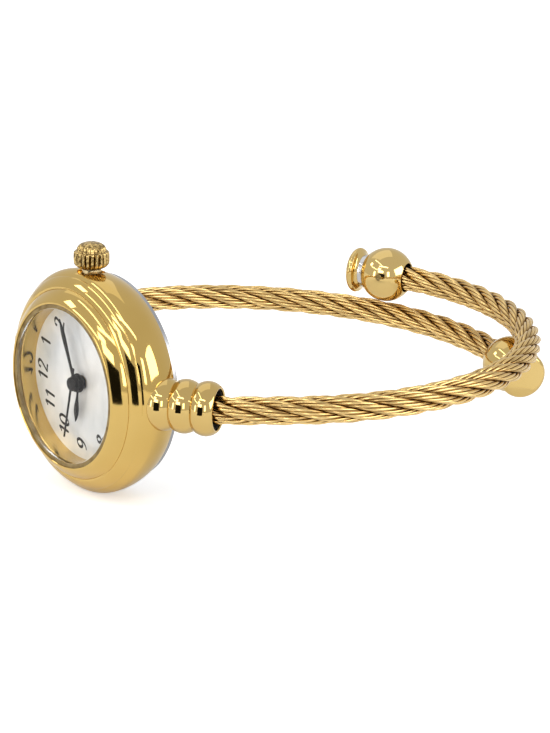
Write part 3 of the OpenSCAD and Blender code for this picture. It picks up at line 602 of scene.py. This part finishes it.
share = np.linspace(0, 1, COLLAR_ROWS)[:, None, None]
collar = (1 - share) * edge + share * pocket_ring(POCKET_R + 0.07, 0)
collar[..., 1] = np.sqrt(case_side(collar[..., 2]) ** 2 - collar[..., 0] ** 2)
lip = collar[-1, :, 1]
rings = [pocket_ring(POCKET_R + 0.02, lip - 0.02), pocket_ring(POCKET_R, lip - 0.08),
         pocket_ring(POCKET_R, POCKET_FLOOR + 0.05), pocket_ring(POCKET_R - 0.05, POCKET_FLOOR),
         pocket_ring(TUBE_HOLE_R, POCKET_FLOOR), pocket_ring(0, POCKET_FLOOR)]
piece("case_middle", [lathe(inside), head(np.concatenate([collar, rings]))], "case", gold_polished,
      ["case_body"], sheets=sheets)

# %% [markdown]
# ## The bezel
# Two rings step down from the crystal to the case. Both are nearly flat bows of a circle with the same lean, so
# each shows the same strip of the room, and a narrow trough lies between them.

# %% Bezel
LIP_H, GROOVE_R, GROOVE_H, LIP_R, GASKET_R = 7.9, 11.1, 6.6, 9.62, 9.42
inner_ring = bow((LIP_R, LIP_H), (GROOVE_R - 0.1, GROOVE_H - 0.08), 0.13, 40)
outer_ring = bow((GROOVE_R + 0.08, GROOVE_H - 0.02), (EDGE_R, SEAT + 0.05), 0.11, 32)
trough = softened([inner_ring[-3], inner_ring[-1], outer_ring[0], outer_ring[2]], 0.09, 5, 5)
bezel_outline = np.concatenate([
    [[GASKET_R, NECK_TOP + 0.02], [GASKET_R, LIP_H - 0.03], [GASKET_R + 0.03, LIP_H], [LIP_R - 0.04, LIP_H],
     [LIP_R - 0.01, LIP_H - 0.005]], inner_ring[1:-3], trough, outer_ring[3:-1],
    [[EDGE_R - 0.02, SEAT + 0.055], [EDGE_R, SEAT + 0.03], [EDGE_R, SEAT], [NECK_R + 0.02, SEAT],
     [NECK_R + 0.02, NECK_TOP + 0.02]]])
piece("bezel_rings", [lathe(looped(bezel_outline))], "case", gold_polished, ["bezel"])

# %% [markdown]
# ## Crystal, gasket and flange ring
# The crystal is a flat disc of glass with a bevel. A clear gasket holds it in the bezel; its lip lies on the bevel
# and shows as a thin olive ring. Under it stands the flange ring, a polished wall that hides the dial's edge.

# %% Crystal, gasket and flange ring
CRYSTAL_R, CRYSTAL_LOW, CRYSTAL_TOP, DIAL_TOP, DIAL_OPEN_R = 9.2, 6.8, 7.8, 4.7, 9.0
glass = softened([(0, CRYSTAL_LOW), (CRYSTAL_R, CRYSTAL_LOW), (CRYSTAL_R, CRYSTAL_TOP - 0.3),
                  (CRYSTAL_R - 0.3, CRYSTAL_TOP), (0, CRYSTAL_TOP)], 0.04)
piece("crystal_glass", [lathe(glass)], "case", clear_glass, ["crystal"])

gasket_line = looped(softened([
    (CRYSTAL_R + 0.01, CRYSTAL_LOW), (GASKET_R - 0.01, CRYSTAL_LOW), (GASKET_R - 0.01, CRYSTAL_TOP - 0.02),
    (CRYSTAL_R - 0.26, CRYSTAL_TOP - 0.005), (CRYSTAL_R + 0.01, CRYSTAL_TOP - 0.27)], 0.02))
piece("gasket_ring", [lathe(gasket_line)], "case", clear_gasket, ["crystal_gasket"])

flange_line = looped(softened([
    (CAVITY_R - 0.02, DIAL_TOP), (CAVITY_R - 0.02, CRYSTAL_LOW - 0.02), (DIAL_OPEN_R + 0.05, CRYSTAL_LOW - 0.02),
    (DIAL_OPEN_R, CRYSTAL_LOW - 0.07), (DIAL_OPEN_R, DIAL_TOP)], 0.05))
piece("flange_wall", [lathe(filled(flange_line))], "case", gold_flange, ["flange_ring"])

# %% [markdown]
# ## The dial
# A thin disc with a hole for the hands' tubes. It is lower by a hair at its edge than in the middle, so that
# the pearl doesn't reflect the studio as one flat patch.

# %% Dial
DIAL_LOW, DIAL_R, DIAL_HOLE = 4.3, 9.35, 0.8
dial_line = filled(looped(softened([(DIAL_HOLE, DIAL_LOW), (DIAL_R, DIAL_LOW), (DIAL_R, DIAL_TOP - 0.02),
                                    (DIAL_OPEN_R, DIAL_TOP - 0.01), (DIAL_HOLE, DIAL_TOP)], 0.03)), 0.6)
piece("dial_face", [lathe(dial_line, ROUND // 2)], "case", pearl, ["dial"])

# %% [markdown]
# ## The numerals
# The dial carries plain numbers from 1 to 12, upright, in a slanted hand with thick and thin strokes, as a broad
# pen makes them: thick where it moves across its edge and thin along it. Each digit is one to three strokes
# through points, given as x,y in hundredths of its height. A stroke is a flat dome carried along its path.

# %% Numerals
STROKES = {
    "0": "30,97 10,80 5,50 12,16 30,3 48,18 55,50 50,82 30,97",
    "1": "8,74 22,84 34,98 / 34,98 34,50 34,2",
    "2": "8,74 14,92 32,98 50,88 50,68 34,42 6,5 / 6,5 30,7 56,4",
    "3": "10,84 28,98 47,88 46,66 26,55 / 26,55 50,46 54,24 38,4 18,3 4,15",
    "4": "42,98 22,66 4,34 / 4,34 30,34 60,34 / 44,70 44,36 44,2",
    "5": "52,95 34,94 18,95 / 18,95 15,75 12,56 / 12,56 32,62 52,48 52,24 36,5 18,2 4,13",
    "6": "48,94 26,84 10,58 6,28 20,4 40,5 53,24 48,46 30,55 12,42 7,30",
    "7": "6,94 30,94 56,95 / 56,95 36,52 24,2",
    "8": "30,53 13,67 13,86 30,97 47,86 46,67 30,53 9,36 8,14 30,2 52,14 51,36 30,53",
    "9": "12,6 34,16 50,42 54,72 40,96 20,95 7,76 12,54 30,45 48,58 53,70",
}
CAP_HEIGHT, SLANT, DIGIT_STEP = 1.85, 0.2, 0.62
THICK, THIN, THIN_END, DOME, PEN = 0.18, 0.065, 0.45, 0.03, math.radians(25)


def smooth_path(points, steps=10):
    """A curve through all points; each stretch is the cubic whose slope at a point is half the way between its
    neighbours."""
    p = np.concatenate([[2 * points[0] - points[1]], points, [2 * points[-1] - points[-2]]])
    t = np.linspace(0, 1, steps, endpoint=False)[:, None]
    a, b, c, d = (p[i:len(p) - 3 + i][:, None] for i in range(4))
    curve = 0.5 * (2 * b + (c - a) * t + (2 * a - 5 * b + 4 * c - d) * t ** 2 + (3 * b - a - 3 * c + d) * t ** 3)
    return np.concatenate([curve.reshape(-1, p.shape[1]), p[-2:-1]])


def pen_stroke(points, place, height):
    """Flat dome along a stroke. Half its width is thin plus the rest times how squarely the pen crosses."""
    way = smooth_path(points)
    heading = unit(np.gradient(way, axis=0))
    across = np.stack([-heading[:, 1], heading[:, 0]], -1)
    squarely = np.abs(heading[:, 1] * math.cos(PEN) - heading[:, 0] * math.sin(PEN))
    half_width = (THIN + (THICK - THIN) * squarely) / 2
    half_width[[0, -1]] *= THIN_END
    section = np.array([(-1, 0), (-0.9, 0.8), (0, 1), (0.9, 0.8), (1, 0)])
    flat = way[:, None] + across[:, None] * (half_width[:, None] * section[:, 0])[..., None]
    rise = np.broadcast_to(height + DOME * section[:, 1], flat.shape[:2])
    x = flat[..., 0] + SLANT * (flat[..., 1] - 0.5)
    return np.stack([place[0] - CAP_HEIGHT * (flat[..., 1] - 0.5), place[1] + CAP_HEIGHT * x, rise], -1)


RADIUS_DOWN_ALONG = {
    12: (7.5, 0, -0.4), 1: (7.6, -0.35, -0.62), 2: (7.6, -0.56, -0.79), 3: (7.4, 0, 0), 4: (7.5, 0, 0),
    5: (7.5, 0, 0), 6: (7.5, 0, 0), 7: (7.4, 0, 0), 8: (7.3, 0, 0.3), 9: (7.35, 0, 0), 10: (7.05, 0.1, 0.2),
    11: (7.3, 0.2, 0.15)}
shells = []
for hour, (radius, down, along) in RADIUS_DOWN_ALONG.items():
    a, digits = math.radians(30 * hour), str(hour)
    for i, digit in enumerate(digits):
        shift = (i - (len(digits) - 1) / 2) * DIGIT_STEP - 0.3
        centre = (down - radius * math.cos(a), along + radius * math.sin(a) + CAP_HEIGHT * shift)
        for stroke in STROKES[digit].split("/"):
            points = np.array([point.split(",") for point in stroke.split()], float) / 100
            shells.append(head(pen_stroke(points, centre, DIAL_TOP - 0.005)))
piece("numerals", shells, "case", black_lacquer)

# %% [markdown]
# ## The hands
# Hour and minute hands are leaves: narrow at the hub, swelling to the widest place at about seven tenths of the
# way, and pointed. They are pressed from thin brass, which makes them slightly domed, and lacquered black. The
# second hand is a fine bar that goes on past its hub as a tail. Each hand has its own hub disc, and a short
# black sleeve under the disc hides the brass tube that carries it.

# %% Hands
HAND_T, BLADE_DOME = 0.14, 0.09


def leaf_width(u, thin, wide, widest):
    """Half width along a leaf: a smooth step from thin to wide, then a quarter cosine down to the point."""
    step = np.clip((u - 0.3) / (widest - 0.3), 0, 1)
    swell = thin + (wide - thin) * step * step * (3 - 2 * step)
    taper = np.cos(np.pi / 2 * np.clip((u - widest) / (1 - widest), 0, 1)) ** 0.8
    return swell * taper / 2


def hand_blade(start, length, half_width, turn_deg, level):
    """A domed blade: across it the top falls by the square of the share of the half width."""
    along = np.linspace(start, length, len(half_width))
    v = np.linspace(-1, 1, 9)
    section = np.concatenate([np.stack([v, HAND_T - BLADE_DOME * v * v], -1), [[0.6, 0.0], [-0.6, 0.0]]])
    y = half_width[:, None] * section[:, 0]
    z = np.broadcast_to(level + section[:, 1], y.shape)
    x = np.broadcast_to(along[:, None], y.shape)
    a = math.radians(180 - turn_deg)
    return np.stack([x * math.cos(a) - y * math.sin(a), x * math.sin(a) + y * math.cos(a), z], -1)


def hand(node, shape, body, level, blade, disc, boss, bore, drop):
    """One hand at its level: its blade, its hub disc with a boss, and the sleeve round its tube, drop deep."""
    hub = softened([(0, level), (disc, level), (disc, level + HAND_T - 0.01), (0.45 * disc, level + boss),
                    (0, level + boss)], 0.05)
    inner, outer = bore
    sleeve = softened([(inner, level), (outer, level), (outer, level - drop), (inner, level - drop)], 0.03)
    piece(f"{node}_{shape}", [head(hand_blade(*blade, level)), lathe(hub, 64), lathe(looped(sleeve), 64)], body,
          black_lacquer, [node])


HOUR_POS, MINUTE_POS, SECOND_POS = 30 * (9 + 11.2 / 60), 6 * 11.2, 6 * 47
TAIL, SECOND_REACH, STATIONS = 2, 6.7, 60
u = np.linspace(0, 1, STATIONS)
bar = np.interp(np.linspace(-TAIL, SECOND_REACH, STATIONS), [-TAIL, 0, SECOND_REACH], [0.22, 0.22, 0.17])
hand("hour_hand", "leaf", "hours", DIAL_TOP + 0.5, (0, 4.7, leaf_width(u, 0.42, 0.95, 0.7), HOUR_POS),
     1.1, HAND_T, (0.64, 0.8), 0.42)
hand("minute_hand", "leaf", "minutes", DIAL_TOP + 0.95, (0, 7.5, leaf_width(u, 0.56, 0.8, 0.74), MINUTE_POS),
     0.96, HAND_T, (0.64, 0.72), 0.27)
hand("second_hand", "bar", "seconds", DIAL_TOP + 1.4, (-TAIL, SECOND_REACH, bar, SECOND_POS),
     0.8, 0.3, (0.4, 0.48), 0.27)

# %% [markdown]
# ## The crown
# The crown has a knurled band with a dome on top: round lobes side by side, deep in the band so that fingertips
# can grip it, and shallow petals on the dome. A lobe is the absolute value of a cosine round the crown. How deep
# a point lies is kept as its tint, which darkens the valleys as painted shade together with dust. The profile is
# in shares of the crown's radius and height. A silver collar joins it to the case.

# %% Crown and collar
CROWN_R, CROWN_LOW, CROWN_H, LOBES = 2.025, 13.25, 3.0, 22
BORE_R, BORE_TOP, LOBE_DEPTH, DOME_STRENGTH = 0.78, 14.55, 0.17, 0.5
BAND_TOP, BAND = 0.665, [(.62, 0), (.80, .05), (.95, .14), (1, .27), (1, .52), (.98, .60), (.93, .64), (.85, .655)]
DOME_R, PETALS = 0.83, [(.83, .68), (.79, .78), (.66, .88), (.45, .95), (.2, .99), (0, 1)]


def stem(points):
    """Pieces on the stem are drawn with their height along the stem, which runs out through the crown."""
    return np.stack([points[..., 0], points[..., 1] - STEM_H, points[..., 2]], -1)


band_line, dome_line = (smooth_path(np.array(line) * (CROWN_R, CROWN_H) + (0, CROWN_LOW), 6)
                        for line in (BAND, PETALS))
crown_line = filled(np.concatenate([[(0, BORE_TOP), (BORE_R, BORE_TOP), (BORE_R, CROWN_LOW)],
                                    band_line, dome_line]), 0.1)
grid = turned(crown_line, LOBES * 16)
height = (crown_line[:, 1] - CROWN_LOW) / CROWN_H
band = np.clip(np.sin(np.pi * np.clip((height + 0.04) / 0.72, 0, 1)), 0, 1) ** 0.5
strength = np.where(height < BAND_TOP, (crown_line[:, 0] > BORE_R + 0.02) * band,
                    DOME_STRENGTH * np.clip(crown_line[:, 0] / CROWN_R / DOME_R, 0, 1))
strength[:3] = 0
sunk = strength[:, None] * (1 - np.abs(np.cos(LOBES / 2 * angles(LOBES * 16))) ** 0.9)
grid[..., :2] *= (1 - LOBE_DEPTH * sunk)[..., None]
# sunk is also the tint: deeper points are painted darker, as shade together with dust.
piece("crown_onion", [stem(grid)], "crown_turned", gold_knurled, ["crown"], 60, sunk.ravel())

collar_line = softened([(0, 9.42), (0.93, 9.42), (0.93, 12.3), (1.1, 12.3), (1.1, 13.15), (0.68, 13.15),
                        (0.68, 14.4), (0.47, 14.4), (0.47, 13.0), (0, 13.0)], 0.06)
piece("crown_collar", [stem(turned(collar_line, 96))], "case", collar_steel, ["crown_tube"])

# %% [markdown]
# ## The caseback
# A steel lid snapped into the case: brushed in rings, with a polished bevel round it and one shallow step. It
# is the thin grey line behind the gold in the picture, and it is bare: nothing is engraved.

# %% Caseback
BACK_R, BACK_RIM_R, BACK_T, BACK_RISE = 12, 11.2, 0.6, 0.4
back_line = filled(softened([
    (0, 0), (8.2, 0), (8.3, 0.06), (8.6, 0.06), (8.7, 0), (BACK_RIM_R, 0), (BACK_R, BACK_RISE), (BACK_R, RIM),
    (SNAP_R - 0.02, RIM), (SNAP_R - 0.02, SNAP_TOP), (9.1, SNAP_TOP), (9.1, BACK_T), (0, BACK_T)], 0.05), 0.8)
piece("caseback_lid", [lathe(back_line)], "case", steel_brushed, ["caseback"])

# %% [markdown]
# ## End links
# Each arm leaves the case through a link of three rounded beads that ends in a cup for the rope. The link is
# turned about its own axis, 34 degrees down towards the wrist. It grows out of the case, so where a point of a
# bead would lie inside the case's round outline, it slides along the link until it meets that outline: the
# start of the link then follows the case exactly. A black rubber seal lines the cup and its floor.

# %% End links and seals
SIDES = ((1, "six"), (-1, "twelve"))
MOUTH = np.array([17.25, 1.2])
LINK_DIR = math.radians(34)
LINK_WAY = np.array([math.cos(LINK_DIR), math.sin(LINK_DIR)])
BEAD_LOW, BEAD_SWELL, PITCH, CUP_R, CUP_DEPTH, VALLEY = 2.6, 0.45, 2.55, 2.3, 2.6, 0.015
LINK_START = -3 * PITCH - 0.05
ENVELOPE_R = 12.07


def link(points, side):
    """From the link's own axis, z along the cable and 0 at the cup's mouth, to its place on that side."""
    x, y, z = points[..., 0], points[..., 1], points[..., 2]
    c, s = LINK_WAY
    return np.stack([side * (MOUTH[0] + z * c - x * s), MOUTH[1] + z * s + x * c, side * y], -1)


second, third = LINK_START + PITCH, LINK_START + 2 * PITCH
beads = np.concatenate([
    bow((BEAD_LOW, LINK_START), (BEAD_LOW, second), -BEAD_SWELL, 20)[:-1], [[BEAD_LOW + VALLEY, second]],
    bow((BEAD_LOW, second), (BEAD_LOW, third), -BEAD_SWELL, 20)[1:-1], [[BEAD_LOW + VALLEY, third]],
    bow((BEAD_LOW, third), (CUP_R + 0.25, -0.03), -BEAD_SWELL - 0.06, 20)[1:]])
cup = softened([beads[-1], (CUP_R + 0.17, 0), (CUP_R + 0.06, 0), (CUP_R, -0.08), (CUP_R, -CUP_DEPTH),
                (0, -CUP_DEPTH)], 0.04)[1:]


def link_grid(steps=144):
    """Rows along the beads, columns round them; a row that starts inside the case moves out to its outline."""
    fine = np.linspace(LINK_START, 0, 2000)
    placed = link(turned(np.stack([np.interp(fine, beads[:, 1], beads[:, 0]), fine], -1), steps), 1)
    within = np.hypot(placed[..., 0], placed[..., 2]) < ENVELOPE_R
    z = np.maximum(beads[:, 1][:, None], fine[np.minimum(within.sum(0), len(fine) - 1)])
    r = np.interp(z, beads[:, 1], beads[:, 0])
    a = angles(steps)
    pole = np.zeros((1, steps, 3))
    pole[..., 2] = (ENVELOPE_R - MOUTH[0]) / LINK_WAY[0]
    return np.concatenate([pole, np.stack([r * np.cos(a), r * np.sin(a), z], -1), turned(cup, steps)])


seal_line = softened([(0, -CUP_DEPTH), (2.28, -CUP_DEPTH), (2.28, -0.3), (2.2, -0.26), (2.18, -0.4),
                      (2.16, -2.0), (1.9, -2.12), (0, -2.12)], 0.05)
for side, tag in SIDES:
    piece(f"link_{tag}", [link(link_grid(), side)], "case", gold_bright, [f"end_link_{tag}"])
    piece(f"seal_{tag}", [link(turned(seal_line, 96), side)], "case", black_rubber,
          [f"cable_seal_{tag}"])

# %% [markdown]
# ## The way of an arm
# An arm is a length of wire rope, bent once and set: a gentle root bend out of the cup, a rounder side, and the
# back of the cuff, where the two arms pass each other. The plan is three arcs that meet without a kink, and
# past the middle of the back it is its own mirror image. The arms also climb or drop a little, so that one
# crosses above the other. The rope is spring steel that keeps this shape: it isn't a free cord.

# %% Route
ROOT_R, SIDE_R, LEAD = 26.2, 29.4, 0.45
ROOT_END, SIDE_END = math.radians(61), math.radians(140.4)
start_pt = MOUTH + LEAD * LINK_WAY
BACK_R = (start_pt[0] + ROOT_R * (math.sin(ROOT_END) - math.sin(LINK_DIR))
          - SIDE_R * (math.sin(ROOT_END) - math.sin(SIDE_END))) / math.sin(SIDE_END)
LEN_ROOT, LEN_SIDE = ROOT_R * (ROOT_END - LINK_DIR), SIDE_R * (SIDE_END - ROOT_END)
HALF = LEN_ROOT + LEN_SIDE + BACK_R * (math.pi - SIDE_END)
BALL_R, BALL_HOLE_R = 3.5, 1.86


def arc_from(point, heading, radius, s):
    """Point after a length s on an arc that starts at point with that heading and turns left."""
    b = heading + s / radius
    return np.stack([point[0] + radius * (np.sin(b) - math.sin(heading)),
                     point[1] + radius * (math.cos(heading) - np.cos(b))], -1)


knee = arc_from(start_pt, LINK_DIR, ROOT_R, LEN_ROOT)
hip = arc_from(knee, ROOT_END, SIDE_R, LEN_SIDE)


def route(side, s):
    """Points of an arm's centre line at lengths s from the start of the root bend."""
    s = np.asarray(s, float)
    m = np.where(s > HALF, 2 * HALF - s, s)
    flat = start_pt + m[..., None] * LINK_WAY
    for begin, point, heading, radius in ((0, start_pt, LINK_DIR, ROOT_R), (LEN_ROOT, knee, ROOT_END, SIDE_R),
                                          (LEN_ROOT + LEN_SIDE, hip, SIDE_END, BACK_R)):
        flat = np.where(m[..., None] >= begin, arc_from(point, heading, radius, m - begin), flat)
    x = np.where(s > HALF, -flat[..., 0], flat[..., 0])
    if side > 0:
        lift = 0.43 * s * s / (s * s + 3.5 ** 2) + 0.013 * s
    else:
        lift = 1.55 * (s / HALF) ** 2 - 0.083 * s * s / (s + 3.5)
    return np.stack([side * x, flat[..., 1], np.where(s <= 0, 0, lift)], -1)


def way_frame(points):
    """Heading of a line at each of its points, the level direction to its left, and the direction above it."""
    t = unit(np.gradient(points, axis=0))
    n = unit(np.cross([0, 0, 1], t))
    return t, n, np.cross(t, n)


BALL_S = {1: HALF + 11.6, -1: HALF + 13.0}
print("half of the cuff:", round(HALF, 2), "mm, back bend radius", round(BACK_R, 2), "mm")

# %% [markdown]
# ## Wire rope
# The rope has six strands round a core, each of six wires round its own core. The strands turn to the right,
# once in 22.8 mm. The wires turn the other way in their strand, so fast that on the outside they run almost
# along the rope: long bright wires cut by slanting dark valleys. A wire is a tube along a helix that is itself
# wound on a helix. Its tint is painted shade: it falls where a wire lies away from its strand's outside and on
# the wire's face towards its strand's middle, so that the valleys are painted dark, and the cores darkest. Each
# wire also has its own random tone.

# %% Ropes
STRANDS, WIRES = 6, 6
LAY, WIRE_TURNS = 22.8, 3.2
STRAND_AT, WIRE_AT, WIRE_R, STRAND_CORE_R, ROPE_CORE_R = 1.08, 0.36, 0.183, 0.185, 0.62
RING_STEP, TUBE_SIDES, ROPE_START, START_TURN = 0.46, 8, -1.75, math.radians(28)


def tube(line, outward, radius, sides):
    """Round tube along lines of points: at each point a circle of that radius in the plane across the line."""
    t = unit(np.gradient(line, axis=-2))
    first = unit(outward - (outward * t).sum(-1, keepdims=True) * t)
    second = np.cross(t, first)
    a = angles(sides)
    ring = np.cos(a)[:, None] * first[..., None, :] + np.sin(a)[:, None] * second[..., None, :]
    return line[..., None, :] + radius * ring


def capped(grid):
    """Closes a tube's two ends with a point in the middle of its first and of its last ring."""
    ends = [np.repeat(grid[i:i + 1].mean(1, keepdims=True), grid.shape[1], 1) for i in (0, len(grid) - 1)]
    return np.concatenate([ends[0], grid, ends[1]])


def rope(side):
    """All wires of an arm: the strand's place round the rope is its start + 2 pi s / lay, and the wire's place
    round its strand turns back WIRE_TURNS times as fast."""
    s = np.arange(ROPE_START, BALL_S[side] - BALL_R + 2.4 - 0.07, RING_STEP)
    middle = route(side, s)
    _, n, b = way_frame(middle)
    # Painted shade: lit_side darkens each wire's face towards its strand's middle, the cosine of own darkens a wire
    # where it lies away from its strand's outside, and the cores get 0, full shade. The other factor is a random tone
    # per wire.
    lit_side = np.clip(0.45 + 0.75 * np.cos(angles(TUBE_SIDES)), 0, 1)
    tubes, shade_tints = [], []
    for k in range(STRANDS):
        angle = (START_TURN + 2 * np.pi * (k / STRANDS + s / LAY))[:, None]
        out = np.cos(angle) * n + np.sin(angle) * b
        strand = middle + STRAND_AT * out
        st = unit(np.gradient(strand, axis=0))
        across = np.cross(st, out)
        tubes.append(capped(tube(strand, out, STRAND_CORE_R, 5)))
        shade_tints.append(0.0)
        for j in range(WIRES):
            own = (2 * np.pi * (j / WIRES - WIRE_TURNS * s / LAY) + 0.9 * k)[:, None]
            way = np.cos(own) * out + np.sin(own) * across
            tubes.append(capped(tube(strand + WIRE_AT * way, way, WIRE_R, TUBE_SIDES)))
            shade_tints.append((0.5 + 0.5 * ((0.37 * (k * WIRES + j) ** 1.3) % 1.0)) * lit_side
                         * np.clip(0.45 + 0.6 * np.pad(np.cos(own), ((1, 1), (0, 0)), "edge"), 0.05, 1))
    tubes.append(capped(tube(middle, n, ROPE_CORE_R, TUBE_SIDES)))
    shade_tints.append(0.0)
    shade_tint = np.concatenate([np.broadcast_to(v, t.shape[:2]).ravel() for t, v in zip(tubes, shade_tints)])
    return tubes, shade_tint


for side, tag in SIDES:
    shells, shade_tint = rope(side)
    piece(f"rope_{tag}", shells, f"arm_{tag}", gold_wire, [f"cable_{tag}"], 80, shade_tint)

# %% [markdown]
# ## Finials
# Each rope ends in a polished ball with a hole for it, a short silver neck, and a round cap with a flat face.
# They are turned about the rope's heading at the ball.

# %% Balls, necks and caps
def on_ball(points, side):
    """From an axis along z, with 0 at the ball's middle, to the end of that side's arm."""
    s = BALL_S[side]
    near = route(side, np.array([s - 0.05, s, s + 0.05]))
    t, n, b = (v[1] for v in way_frame(near))
    return near[1] + points[..., :1] * n + points[..., 1:2] * b + points[..., 2:] * t


NECK_OUT_R, HOLE_FLOOR, CAP_R, RIM_Z, REACH = 2.1, -1.1, 2.925, 4.13, 4.75
hole_z = -math.sqrt(BALL_R ** 2 - (BALL_HOLE_R + 0.06) ** 2)
neck_z = math.sqrt(BALL_R ** 2 - NECK_OUT_R ** 2)
polar = np.linspace(math.acos(hole_z / BALL_R), math.acos(neck_z / BALL_R), 72)
ball_line = np.concatenate([
    [(0, HOLE_FLOOR), (BALL_HOLE_R - 0.04, HOLE_FLOOR), (BALL_HOLE_R, HOLE_FLOOR + 0.04),
     (BALL_HOLE_R, hole_z + 0.1), (BALL_HOLE_R + 0.015, hole_z + 0.04)],
    np.stack([BALL_R * np.sin(polar), BALL_R * np.cos(polar)], -1), [(0, neck_z)]])
neck_line = softened([(0, neck_z - 0.1), (NECK_OUT_R - 0.02, neck_z - 0.1), (NECK_OUT_R - 0.02, 3.4), (0, 3.4)], 0.03)
cap_line = softened(np.concatenate([
    [(0, 3.33), (NECK_OUT_R, 3.33)], bow((NECK_OUT_R + 0.02, 3.34), (CAP_R - 0.12, RIM_Z - 0.28), 0.1, 8),
    bow((CAP_R, RIM_Z), (CAP_R - 0.45, REACH), -0.12, 10), [(CAP_R - 0.6, REACH), (0, REACH)]]), 0.05)
for side, tag in SIDES:
    for name, line, steps, slot, material, nodes in (
            ("finial", ball_line, 128, "gold_case", gold_bright, [f"ball_{tag}"]),
            ("neck", neck_line, 96, "steel", steel_polished, []),
            ("cap", cap_line, 128, "gold_case", gold_bright, [f"end_cap_{tag}"])):
        piece(f"{name}_{tag}", [on_ball(turned(line, steps), side)], f"arm_{tag}", material, nodes)
